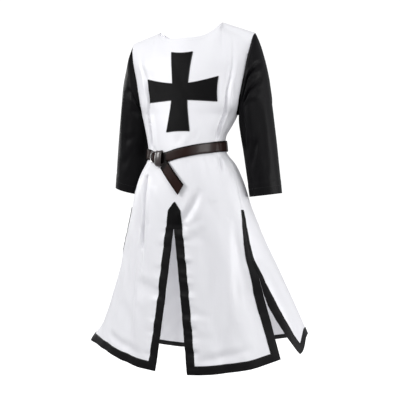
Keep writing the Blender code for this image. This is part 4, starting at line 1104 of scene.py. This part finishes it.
cross_satin = satin(
    "cross_satin", (0.0048, 0.0046, 0.0051), (0.0032, 0.0030, 0.0034),
    gloss=0.42, slub=0.6, bump=0.30, sheen=0.0, specular=0.06,
)
grids = cross_grids()
quads, start = [], 0
for across, _ in grids:
    quads.append(grid_quads(*across.shape) + start)
    start += across.size
across, up = (np.concatenate([grid[i].ravel() for grid in grids]) for i in (0, 1))
cross = sewn_on("cross_cut", across, cross_height(across, up), np.concatenate(quads))
cross.data.materials.append(cross_satin)
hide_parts("cross")

rows = np.linspace(0, PATCH_TIP, 20)[:, None]
half = np.interp(rows, [0, 1, 2], PATCH_HALF)
z = np.interp(rows, [0, 1, 2], PATCH_ROWS)
v = np.linspace(-1, 1, 15)[None, :]
over_trim = np.ravel(SEWN_RISE + SEWN_RISE * step((TRIM_HEAD - z) / 0.006) + 0 * v)
quads = grid_quads(len(rows), v.size)
patch = sewn_on("slit_patch_cut", half * v + PATCH_SHIFT, z + 0 * v, quads, over_trim)
patch.data.materials.append(cross_satin)
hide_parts("slit_patch")


def cord_along(name, across, z, radius=CORD_RADIUS, closed=True):
    """A flat line on the front made a cord: a half-round profile carried along it."""
    flat = np.stack([across, z], axis=-1)
    if closed:
        flat = np.concatenate([flat, flat[:1]])
    run = run_along(flat)
    even = np.linspace(0, run[-1], max(8, int(run[-1] / CORD_STEP)))
    flat = np.stack([np.interp(even, run, flat[:, i]) for i in (0, 1)], axis=-1)
    ahead = np.gradient(flat, axis=0)
    if closed:
        ahead[0] = ahead[-1] = flat[1] - flat[-2]
    ahead = unit(ahead)
    beside = np.stack([-ahead[:, 1], ahead[:, 0]], axis=-1)
    turn = np.radians(np.array([-8, 25, 60, 90, 120, 155, 188]))
    offset = np.cos(turn) * radius
    spots = flat[:, None] + beside[:, None] * offset[None, :, None]
    lift = np.broadcast_to(CORD_RISE + np.sin(turn) * radius * 0.8, spots.shape[:2]).reshape(-1, 1)
    points, normals = over_body(*spot_on_front(spots[..., 0], spots[..., 1]), True, lift)
    girth = np.linspace(0, CORD_GIRTH, len(turn))[None, :]
    metres = np.stack(np.broadcast_arrays(girth, even[:, None]), axis=-1)
    quads = grid_quads(*spots.shape[:2])[:, ::-1]
    return cloth_piece(name, points, normals, quads, metres, thickness=TRIM_CLOTH)


def thread_material(name, colour, gloss):
    """Spun polyester thread: fine slanting ply lines in colour and bump."""
    material, tree, shader = new_material(name)
    place = node(tree, "ShaderNodeTexCoord", (-900, 0))
    twist = (("Scale", 700.0), ("Distortion", 2.0))
    ply = node(tree, "ShaderNodeTexWave", (-600, 0), twist, wave_type="BANDS", bands_direction="DIAGONAL")
    tones = (("A", (*[0.6 * c for c in colour], 1)), ("B", (*colour, 1)))
    ramp = node(tree, "ShaderNodeMix", (-300, 100), tones, data_type="RGBA")
    relief = node(tree, "ShaderNodeBump", (-300, -200), (("Strength", 0.4), ("Distance", 0.0002)))
    join(
        tree,
        (place, "Object", ply, "Vector"),
        (ply, "Fac", ramp, "Factor"),
        (ramp, "Result", shader, "Base Color"),
        (ply, "Fac", relief, "Height"),
        (relief, "Normal", shader, "Normal"),
    )
    shader.inputs["Roughness"].default_value = gloss
    shader.inputs["Sheen Weight"].default_value = 0.2
    return material


def cross_outline():
    """The cross's edge, counter-clockwise: out along each arm's near side, over its end, and back."""
    line = []
    arms = cross_grids()[:4]
    for k in (2, 0, 3, 1):
        grid = np.stack(arms[k], axis=-1)
        line += [grid[:, -1], grid[-1, ::-1][1:-1], grid[::-1, 0]]
    return np.concatenate(line).T


black_thread = thread_material("black_thread", (0.010, 0.0098, 0.0105), 0.5)
across, up = cross_outline()
cross_cord = cord_along("cross_edge_cord", across, cross_height(across, up))
share = np.concatenate([np.linspace(0, 1, 14), np.linspace(1, PATCH_TIP, 10)[1:]])
sign = np.concatenate([np.ones(len(share)), -np.ones(len(share) - 1)])
share = np.concatenate([share, share[::-1][1:]])
half, z = np.interp(share, [0, 1, 2], PATCH_HALF), np.interp(share, [0, 1, 2], PATCH_ROWS)
patch_cord = cord_along("patch_edge_cord", half * sign + PATCH_SHIFT, z, PATCH_CORD_RADIUS, closed=False)
for piece in (cross_cord, patch_cord):
    piece.data.materials.append(black_thread)


# ---- Stitching ----
# Lockstitch in spun thread: black along the inner line of the trim and round the cuffs, white
# round the turned neckline. Each stitch is a small bead that sinks into the cloth at its ends.

STITCH_PITCH = 0.0036
STITCH_LENGTH = 0.0027
STITCH_WIDTH = 0.0005
STITCH_LINE = 0.91
STITCH_RISE = 0.0017
NECK_HEM = 0.013

# A stitch's ten points: share of its length along it, shares of its width across and up
BEAD = (
    (-0.5, 0, -0.5), (-0.25, -0.5, 0.1), (-0.25, 0, 0.6), (-0.25, 0.5, 0.1), (-0.25, 0, -0.6),
    (0.25, -0.5, 0.1), (0.25, 0, 0.6), (0.25, 0.5, 0.1), (0.25, 0, -0.6), (0.5, 0, -0.5),
)


def along_line(spots, run, values):
    """The values, such as places, at spots along a line, in metres from its start."""
    return np.stack([np.interp(spots, run, values[:, i]) for i in range(3)], axis=-1)


def stitches(name, lines, material):
    """Beads along lines: each has two sunk tips and two rings of four points between them."""
    beads = []
    for points, normals in lines:
        run = run_along(points)
        centre = np.arange(STITCH_PITCH, run[-1] - STITCH_PITCH / 2, STITCH_PITCH)
        ahead = unit(along_line(centre + 0.001, run, points) - along_line(centre - 0.001, run, points))
        up = unit(along_line(centre, run, normals))
        beside = unit(np.cross(up, ahead))
        for along, across, rise in BEAD:
            beads.append(
                along_line(centre + along * STITCH_LENGTH, run, points)
                + beside * across * STITCH_WIDTH
                + up * rise * STITCH_WIDTH
            )
    vertices, faces, start = [], [], 0
    ends = [(0, 2, 1), (0, 3, 2), (0, 4, 3), (0, 1, 4), (9, 5, 6), (9, 6, 7), (9, 7, 8), (9, 8, 5)]
    sides = [(1, 2, 6), (1, 6, 5), (2, 3, 7), (2, 7, 6), (3, 4, 8), (3, 8, 7), (4, 1, 5), (4, 5, 8)]
    pattern = np.array(ends + sides)
    for k in range(0, len(beads), len(BEAD)):
        group = np.stack(beads[k : k + len(BEAD)], axis=1)
        vertices.append(group.reshape(-1, 3))
        first = len(BEAD) * np.arange(len(group))[:, None, None] + start
        faces.append((pattern[None] + first).reshape(-1, 3))
        start += len(group) * len(BEAD)
    mesh = bpy.data.meshes.new(name)
    mesh.from_pydata(np.concatenate(vertices).tolist(), [], np.concatenate(faces).tolist())
    mesh.materials.append(material)
    mesh.shade_smooth()
    piece = placed(name, mesh)


for name, front, sides in TRIMS:
    lines = []
    for wearer_side in sides:
        edge_path, inner_path = trim_lines(wearer_side, front)
        spots = edge_path + (inner_path - edge_path) * STITCH_LINE
        lines.append(over_body(*spots.T, front, STITCH_RISE))
    stitches("stitches_" + name, lines, black_thread)

for word, line in cuff_lines.items():
    closed_line = [np.concatenate([values, values[:1]]) for values in line]
    stitches("stitches_cuff_" + word, [closed_line], black_thread)

white_thread = thread_material("white_thread", (0.80, 0.80, 0.83), 0.5)
for word, front in (("front", True), ("back", False)):
    reach = NECK_SHARE[front] * math.radians(EDGES[1][-1]) * 0.96
    theta = np.linspace(-reach, reach, 160)
    if not front:
        theta = np.where(theta < 0, -math.pi - theta, math.pi - theta)
    line = over_body(theta, np.full(160, SHOULDER - NECK_HEM), front, 0)
    stitches("stitches_neck_" + word, [line], white_thread)


# ---- Belt ----
# One long strap of dark brown leather with burnished edges. It goes through a steel ring,
# wraps back round itself in a flat knot, and its free end hangs in front.

STRAP_HALF = 0.0173
STRAP = 0.0028
STRAP_FROM = math.radians(-25.5)
STRAP_TO = math.radians(329.0)
STRAP_TUCK = (0.13, 0.07)  # radians
STRAP_TUCK_RISE = 0.0026
STRAP_TUCK_NARROWING = 0.10
STRAP_WAVE = 0.0006
STRAP_CURL = 0.0004
SHARP_LEATHER = 60  # degrees
LEATHER = (0.019, 0.0082, 0.0066)
# the colour of the dark burnished edges, also used for the painted shade where a piece leaves the knot
LEATHER_EDGE_AND_SHADE = (0.0036, 0.0022, 0.0021)
KNOT_THETA = math.radians(-26.1)
KNOT_HALF_ANGLE = math.radians(5.7)
KNOT_UP = (-0.0175, 0, 0.0175, 0.0225, 0.0243, 0.0218, 0.016, 0, -0.016, -0.0218, -0.0243, -0.0225)
KNOT_OUT = (0.0118, 0.0139, 0.0118, 0.0086, 0.0058, 0.003, 0.0018, 0.0016, 0.0018, 0.003, 0.0058, 0.0086)
KNOT_CROWN = 0.0035
KNOT_NARROWING = 0.10
RING_THETA = math.radians(-36.5)
RING_RADIUS = 0.018
RING_WIRE = 0.002
RING_LIFT = 0.0054
TAIL_TOP = (-0.0425, -0.4492)
TAIL_LOW = (0.0234, -0.531)
TAIL_SLANT = 0.007
TAIL_START_SLANT = 0.006
TAIL_LIFT = (0.0050, 0.0090)

# The strap's cut across: share of the half-width and share of the thickness, all the way round
STRAP_SECTION = np.array(
    [
        (-1.0, 0.5), (-0.985, 0.82), (-0.95, 0.98), (-0.90, 1.04), (-0.865, 1.0), (-0.85, 0.90),
        (-0.835, 0.90), (-0.82, 1.0), (-0.6, 1.04), (-0.3, 1.06), (0.0, 1.06), (0.3, 1.06), (0.6, 1.04),
        (0.82, 1.0), (0.835, 0.90), (0.85, 0.90), (0.865, 1.0), (0.90, 1.04), (0.95, 0.98), (0.985, 0.82),
        (1.0, 0.5), (0.985, 0.18), (0.95, 0.04), (0.6, 0.0), (0.0, 0.0), (-0.6, 0.0), (-0.95, 0.04),
        (-0.985, 0.18),
    ]
)


def ring_normal(theta, level):
    """The level outward direction of a ring round the body."""
    across = ring(theta + NORMAL_TURN, level) - ring(theta - NORMAL_TURN, level)
    across[..., 2] = 0
    return unit(np.cross(across, np.array([0.0, 0.0, 1.0])))


def belt_spot(theta, up, out):
    """A point by the belt's middle line: up the cloth from it, and out from the cloth."""
    theta, up, out = np.broadcast_arrays(np.asarray(theta, float), up, out)
    share = ((BELT_LEVEL + up - CINCH[0]) / (CINCH[1] - CINCH[0]))[..., None]
    angle = wrapped(theta)
    back = (np.abs(angle) > math.pi / 2)[..., None]
    ends = []
    for level in CINCH:
        row = np.full(theta.shape, level)
        points = np.where(back, body_surface(angle, row, False), body_surface(angle, row, True))
        ends.append((points, ring_normal(angle, row)))
    points = ends[0][0] * (1 - share) + ends[1][0] * share
    normals = unit(ends[0][1] * (1 - share) + ends[1][1] * share)
    return points + normals * out[..., None]


def section_metres(grid):
    """Flat coordinates of a tube: the run along it, and the run round its section."""
    along = np.concatenate([[0], np.cumsum(row_steps(grid))])
    across = run_along(grid[len(grid) // 2])
    return np.stack(np.broadcast_arrays(along[:, None], across[None, :]), axis=-1)


def leather_piece(name, grid, closed_along=False):
    """A tube with its section along the second axis; its ends are closed unless it runs round."""
    rows, columns = grid.shape[:2]
    metres = section_metres(grid)
    faces = grid_quads(rows, columns, closed=True, closed_along=closed_along).tolist()
    flat = np.concatenate([metres, metres[:, :1]], axis=1)
    flat[:, -1, 1] = metres[:, -1, 1] + 0.001
    if closed_along:
        flat = np.concatenate([flat, flat[:1]])
        flat[-1, :, 0] = metres[-1, 0, 0] + 0.002
    uv = cell_corners(flat).reshape(-1, 2)
    if not closed_along:
        faces += [list(range(columns))[::-1], list(range((rows - 1) * columns, rows * columns))]
        uv = np.concatenate([uv, metres[0, ::-1], metres[-1]])
    return finished(name, grid.reshape(-1, 3), faces, uv, SHARP_LEATHER)


def leather(name, shaded_run, polish, shine, specular):
    """Full-grain leather: cells and pores in the bump, cloudy dye, dark burnished edges.

    It is painted darker over its first stretch, a painted shade where it runs out from under the knot. Its
    coat is polish, and a
    full coat over one stretch that rubs: shine is that stretch's middle and half-length.
    """
    material, tree, shader = new_material(name)
    flat = node(tree, "ShaderNodeUVMap", (-1300, 0), uv_map="cloth")
    grain = (("Scale", 800.0),)
    cells = node(tree, "ShaderNodeTexVoronoi", (-1000, -200), grain, feature="DISTANCE_TO_EDGE")
    pores = node(tree, "ShaderNodeTexNoise", (-1000, -450), (("Scale", 420.0), ("Detail", 4.0)))
    cloud = node(tree, "ShaderNodeTexNoise", (-1000, 200), (("Scale", 34.0), ("Detail", 5.0)))
    parts = node(tree, "ShaderNodeSeparateXYZ", (-1100, 420))
    apart = node(tree, "ShaderNodeMath", (-900, 420), ((1, STRAP_HALF),), operation="SUBTRACT")
    size = node(tree, "ShaderNodeMath", (-740, 420), operation="ABSOLUTE")
    edge = (("From Min", STRAP_HALF * 0.70), ("From Max", STRAP_HALF * 0.97))
    rim = node(tree, "ShaderNodeMapRange", (-560, 420), edge, interpolation_type="SMOOTHSTEP")
    # Painted shade: the first stretch along the piece, where it runs out from under the knot, is mixed
    # towards the dark edge colour
    first = (("From Min", shaded_run + 0.004), ("From Max", shaded_run))
    painted_shade = node(tree, "ShaderNodeMapRange", (-560, 640), first, interpolation_type="SMOOTHSTEP")
    darker = node(tree, "ShaderNodeMath", (-380, 520), operation="MAXIMUM")
    past = node(tree, "ShaderNodeMath", (-900, 860), ((1, shine[0]),), operation="SUBTRACT")
    off = node(tree, "ShaderNodeMath", (-740, 860), operation="ABSOLUTE")
    rubbed = (("From Min", 0.25 * shine[1]), ("From Max", shine[1]), ("To Min", 1.0), ("To Max", polish))
    coat = node(tree, "ShaderNodeMapRange", (-560, 860), rubbed, interpolation_type="SMOOTHSTEP")
    tones = (("A", (*[0.55 * c for c in LEATHER], 1)), ("B", (*[1.35 * c for c in LEATHER], 1)))
    dye = node(tree, "ShaderNodeMix", (-560, 150), tones, data_type="RGBA")
    edges_and_shade = node(tree, "ShaderNodeMix", (-300, 200), (("B", (*LEATHER_EDGE_AND_SHADE, 1)),), data_type="RGBA")
    gloss = node(tree, "ShaderNodeMapRange", (-560, -100), (("To Min", 0.26), ("To Max", 0.44)))
    total = node(tree, "ShaderNodeMath", (-560, -350), operation="ADD")
    relief = node(tree, "ShaderNodeBump", (-300, -300), (("Strength", 0.45), ("Distance", 0.0004)))
    join(
        tree,
        (flat, "UV", cells, "Vector"),
        (flat, "UV", pores, "Vector"),
        (flat, "UV", cloud, "Vector"),
        (flat, "UV", parts, "Vector"),
        (parts, "Y", apart, 0),
        (apart, 0, size, 0),
        (size, 0, rim, "Value"),
        (cloud, "Fac", dye, "Factor"),
        (cloud, "Fac", gloss, "Value"),
        (dye, "Result", edges_and_shade, "A"),
        (parts, "X", painted_shade, "Value"),
        (rim, "Result", darker, 0),
        (painted_shade, "Result", darker, 1),
        (darker, 0, edges_and_shade, "Factor"),
        (cells, "Distance", total, 0),
        (pores, "Fac", total, 1),
        (total, 0, relief, "Height"),
        (edges_and_shade, "Result", shader, "Base Color"),
        (gloss, "Result", shader, "Roughness"),
        (relief, "Normal", shader, "Normal"),
        (parts, "X", past, 0),
        (past, 0, off, 0),
        (off, 0, coat, "Value"),
        (coat, "Result", shader, "Coat Weight"),
    )
    shader.inputs["Coat Roughness"].default_value = 0.28
    shader.inputs["Specular IOR Level"].default_value = specular
    return material


# the first number is the metres of painted shade at the start of each piece, next to the knot; the knot
# itself gets none
strap_leather = leather("strap_leather", shaded_run=0.023, polish=0.06, shine=(0.150, 0.055), specular=0.10)
knot_leather = leather("knot_leather", shaded_run=-0.010, polish=0.9, shine=(0.0, 0.1), specular=0.62)
tail_leather = leather("tail_leather", shaded_run=0.014, polish=0.0, shine=(-1.0, 0.1), specular=0.06)

# The strap: its section carried round the body, raised and a little narrower under the knot
theta = np.linspace(STRAP_FROM, STRAP_TO, 420)[:, None]
tucked = step(1 - (theta - STRAP_FROM) / STRAP_TUCK[0]) + step(1 - (STRAP_TO - theta) / STRAP_TUCK[1])
up = STRAP_SECTION[None, :, 0] * STRAP_HALF
out = LIFT + STRAP_SECTION[None, :, 1] * STRAP + STRAP_TUCK_RISE * tucked
out = out + STRAP_CURL * ripple(theta * 9, 1.0) * (up / STRAP_HALF) ** 2
up = up * (1 - STRAP_TUCK_NARROWING * tucked) + STRAP_WAVE * ripple(theta * 4, 2.0)
grid = belt_spot(theta, up, out)
strap = leather_piece("belt_strap_leather", grid)

# The knot: the strap's end laid over the strap in front and passed behind it, bulging in front
knots = np.arange(-3, len(KNOT_UP) + 4)
turn = np.linspace(0, len(KNOT_UP), 73)[:-1]
path = [smooth(turn, knots, np.take(side, knots, mode="wrap")) for side in (KNOT_OUT, KNOT_UP)]
path = np.stack(path, axis=-1)
ahead = unit(np.roll(path, -1, axis=0) - np.roll(path, 1, axis=0))
square = np.stack([ahead[:, 1], -ahead[:, 0]], axis=-1)
section = STRAP_SECTION[None, :, :]
lifted = path[:, None] + square[:, None] * (section[..., 1:] - 0.5) * STRAP
narrower = (1 - KNOT_NARROWING * (path[:, 1] / max(KNOT_UP)) ** 2)[:, None]
theta = KNOT_THETA + section[..., 0] * KNOT_HALF_ANGLE * narrower
crown = KNOT_CROWN * (1 - section[..., 0] ** 2) * (path[:, :1] > 0.005)
grid = belt_spot(theta, lifted[..., 1], lifted[..., 0] + crown)
knot = leather_piece("belt_knot_leather", grid, closed_along=True)

# The free end: it leaves the knot sideways, hangs on a slant and is cut on a slant
top, low = np.array(TAIL_TOP), np.array(TAIL_LOW)
way = unit(low - top)
beside = np.array([-way[1], way[0]])
s = np.linspace(0, 1, 60)[:, None]
v = STRAP_SECTION[None, :, 0]
slant = v * (TAIL_SLANT * s**6 + TAIL_START_SLANT * (1 - s) ** 3)
place_xz = top + (low - top) * s[..., None] + v[..., None] * STRAP_HALF * beside - slant[..., None] * way
x, z = place_xz[..., 0], place_xz[..., 1]
level = z.copy()
for _ in range(6):
    theta = np.arcsin(x / body(level, "side_x"))
    level = level + z - body_surface(theta, level, True)[..., 2]
lift = TAIL_LIFT[0] + (TAIL_LIFT[1] - TAIL_LIFT[0]) * s + STRAP_SECTION[None, :, 1] * STRAP
lift = lift + 0.0012 * np.sin(s * 5.0) * s - 0.0006 * (1 - v**2) * s
tail = leather_piece("belt_tail_leather", over_body(theta, level, True, lift[..., None])[0])

for piece, solid, hide in (
    (strap, "belt_strap", strap_leather), (knot, "belt_knot", knot_leather), (tail, "belt_tail", tail_leather)
):
    piece.data.materials.append(hide)
    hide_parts(solid)


def steel(name):
    """Polished steel: fine scratches in the bump and a cloudy polish."""
    material, tree, shader = new_material(name)
    place = node(tree, "ShaderNodeTexCoord", (-1000, 0))
    drawn = node(tree, "ShaderNodeMapping", (-800, 0), (("Scale", (300, 2600, 300)),))
    scratch = node(tree, "ShaderNodeTexNoise", (-560, -100), (("Scale", 1.0), ("Detail", 4.0)))
    polish = node(tree, "ShaderNodeMapRange", (-300, 100), (("To Min", 0.14), ("To Max", 0.32)))
    tones = (("A", (0.34, 0.33, 0.33, 1)), ("B", (0.52, 0.51, 0.50, 1)))
    tint = node(tree, "ShaderNodeMix", (-300, 320), tones, data_type="RGBA")
    relief = node(tree, "ShaderNodeBump", (-300, -200), (("Strength", 0.15), ("Distance", 0.0001)))
    join(
        tree,
        (place, "Object", drawn, "Vector"),
        (drawn, "Vector", scratch, "Vector"),
        (scratch, "Fac", polish, "Value"),
        (scratch, "Fac", tint, "Factor"),
        (scratch, "Fac", relief, "Height"),
        (polish, "Result", shader, "Roughness"),
        (tint, "Result", shader, "Base Color"),
        (relief, "Normal", shader, "Normal"),
    )
    shader.inputs["Metallic"].default_value = 1.0
    return material


# The ring: a round wire bent to a circle that lies flat on the belt
spot = belt_spot(RING_THETA, 0.0, RING_LIFT)
across = belt_spot(RING_THETA + 0.05, 0.0, RING_LIFT) - belt_spot(RING_THETA - 0.05, 0.0, RING_LIFT)
upward = belt_spot(RING_THETA, 0.01, RING_LIFT) - belt_spot(RING_THETA, -0.01, RING_LIFT)
facing = Vector(np.cross(across, upward)).to_track_quat("Z", "Y").to_matrix()
bend = np.linspace(0, 2 * math.pi, 97)[:-1, None]
wire = np.linspace(0, 2 * math.pi, 25)[None, :-1]
radius = RING_RADIUS + RING_WIRE * np.cos(wire)
flat_ring = np.stack(
    np.broadcast_arrays(radius * np.cos(bend), radius * np.sin(bend), RING_WIRE * np.sin(wire)), axis=-1
)
grid = flat_ring @ np.array(facing).T + spot
belt_ring = leather_piece("belt_ring_steel", grid, closed_along=True)
belt_ring.data.materials.append(steel("bright_steel"))
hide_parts("belt_ring")


# ---- Floor and light ----
# A pale studio floor under the hanging coat, one broad soft light from the upper left in front,
# weaker ones on the right and behind on the left, small ones above, in the collar and under the
# hem, and white all round.

FLOOR = -1.52
FLOOR_SPOKES = 96
FLOOR_RINGS = np.array([0.02, 1.0, 2.5, 5.0, 9.0])[:, None]
turn = np.linspace(0, 2 * math.pi, FLOOR_SPOKES + 1)[None, :-1]
disc = np.stack(np.broadcast_arrays(FLOOR_RINGS * np.cos(turn), FLOOR_RINGS * np.sin(turn), FLOOR), axis=-1)
faces = grid_quads(*disc.shape[:2], closed=True).tolist() + [list(range(FLOOR_SPOKES))[::-1]]
mesh = bpy.data.meshes.new("floor")
mesh.from_pydata(disc.reshape(-1, 3).tolist(), [], faces)
floor = bpy.data.objects.new("floor", mesh)
bpy.context.scene.collection.objects.link(floor)
paper, tree, shader = new_material("floor_paper")
shader.inputs["Base Color"].default_value = (0.40, 0.40, 0.41, 1)
shader.inputs["Roughness"].default_value = 0.9
shader.inputs["Emission Color"].default_value = (1, 1, 1, 1)
lit = node(tree, "ShaderNodeLightPath", (-300, -200))
join(tree, (lit, "Is Camera Ray", shader, "Emission Strength"))
mesh.materials.append(paper)

for name, place, aim, size, power in (
    ("key", (-1.95, -2.05, 1.0), (0, 0, -0.22), 1.2, 54.0),
    ("beside", (2.5, 0.4, -0.5), (0.3, 0.1, -0.85), 1.0, 24.0),
    ("front", (1.8, -1.95, 0.50), (0.12, 0, -0.10), 1.6, 21.0),
    ("above", (0.6, -0.6, 2.0), (0, 0, -0.2), 1.2, 3.0),
    ("rim", (-2.4, 0.9, 0.0), (-0.2, 0, -0.3), 0.8, 11.0),
    ("collar", (0.0, 0.0, -0.22), (-0.09, 0.03, 0.0), 0.12, 0.3),
    ("under", (0.0, 0.05, -1.49), (0, 0.08, -0.6), 0.5, 1.7),
):
    data = bpy.data.lights.new(name, "AREA")
    data.shape = "SQUARE"
    data.size = size
    data.energy = power
    lamp = bpy.data.objects.new(name, data)
    lamp.location = place
    lamp.visible_camera = False
    lamp.rotation_euler = (Vector(aim) - Vector(place)).to_track_quat("-Z", "Y").to_euler()
    bpy.context.scene.collection.objects.link(lamp)

world = bpy.data.worlds.new("studio")
world.use_nodes = True
tree = world.node_tree
for old in list(tree.nodes):
    tree.nodes.remove(old)
sky = node(tree, "ShaderNodeBackground", (-200, 100), (("Color", (0.97, 0.98, 1.0, 1)), ("Strength", 0.555)))
backdrop = node(tree, "ShaderNodeBackground", (-200, -100), (("Color", (1, 1, 1, 1)), ("Strength", 1.1)))
seen = node(tree, "ShaderNodeLightPath", (-200, 400))
mixed = node(tree, "ShaderNodeMixShader", (50, 0))
outside = node(tree, "ShaderNodeOutputWorld", (250, 0))
join(
    tree,
    (seen, "Is Camera Ray", mixed, "Fac"),
    (sky, 0, mixed, 1),
    (backdrop, 0, mixed, 2),
    (mixed, 0, outside, "Surface"),
)
bpy.context.scene.world = world
bpy.context.scene.view_settings.view_transform = "Standard"
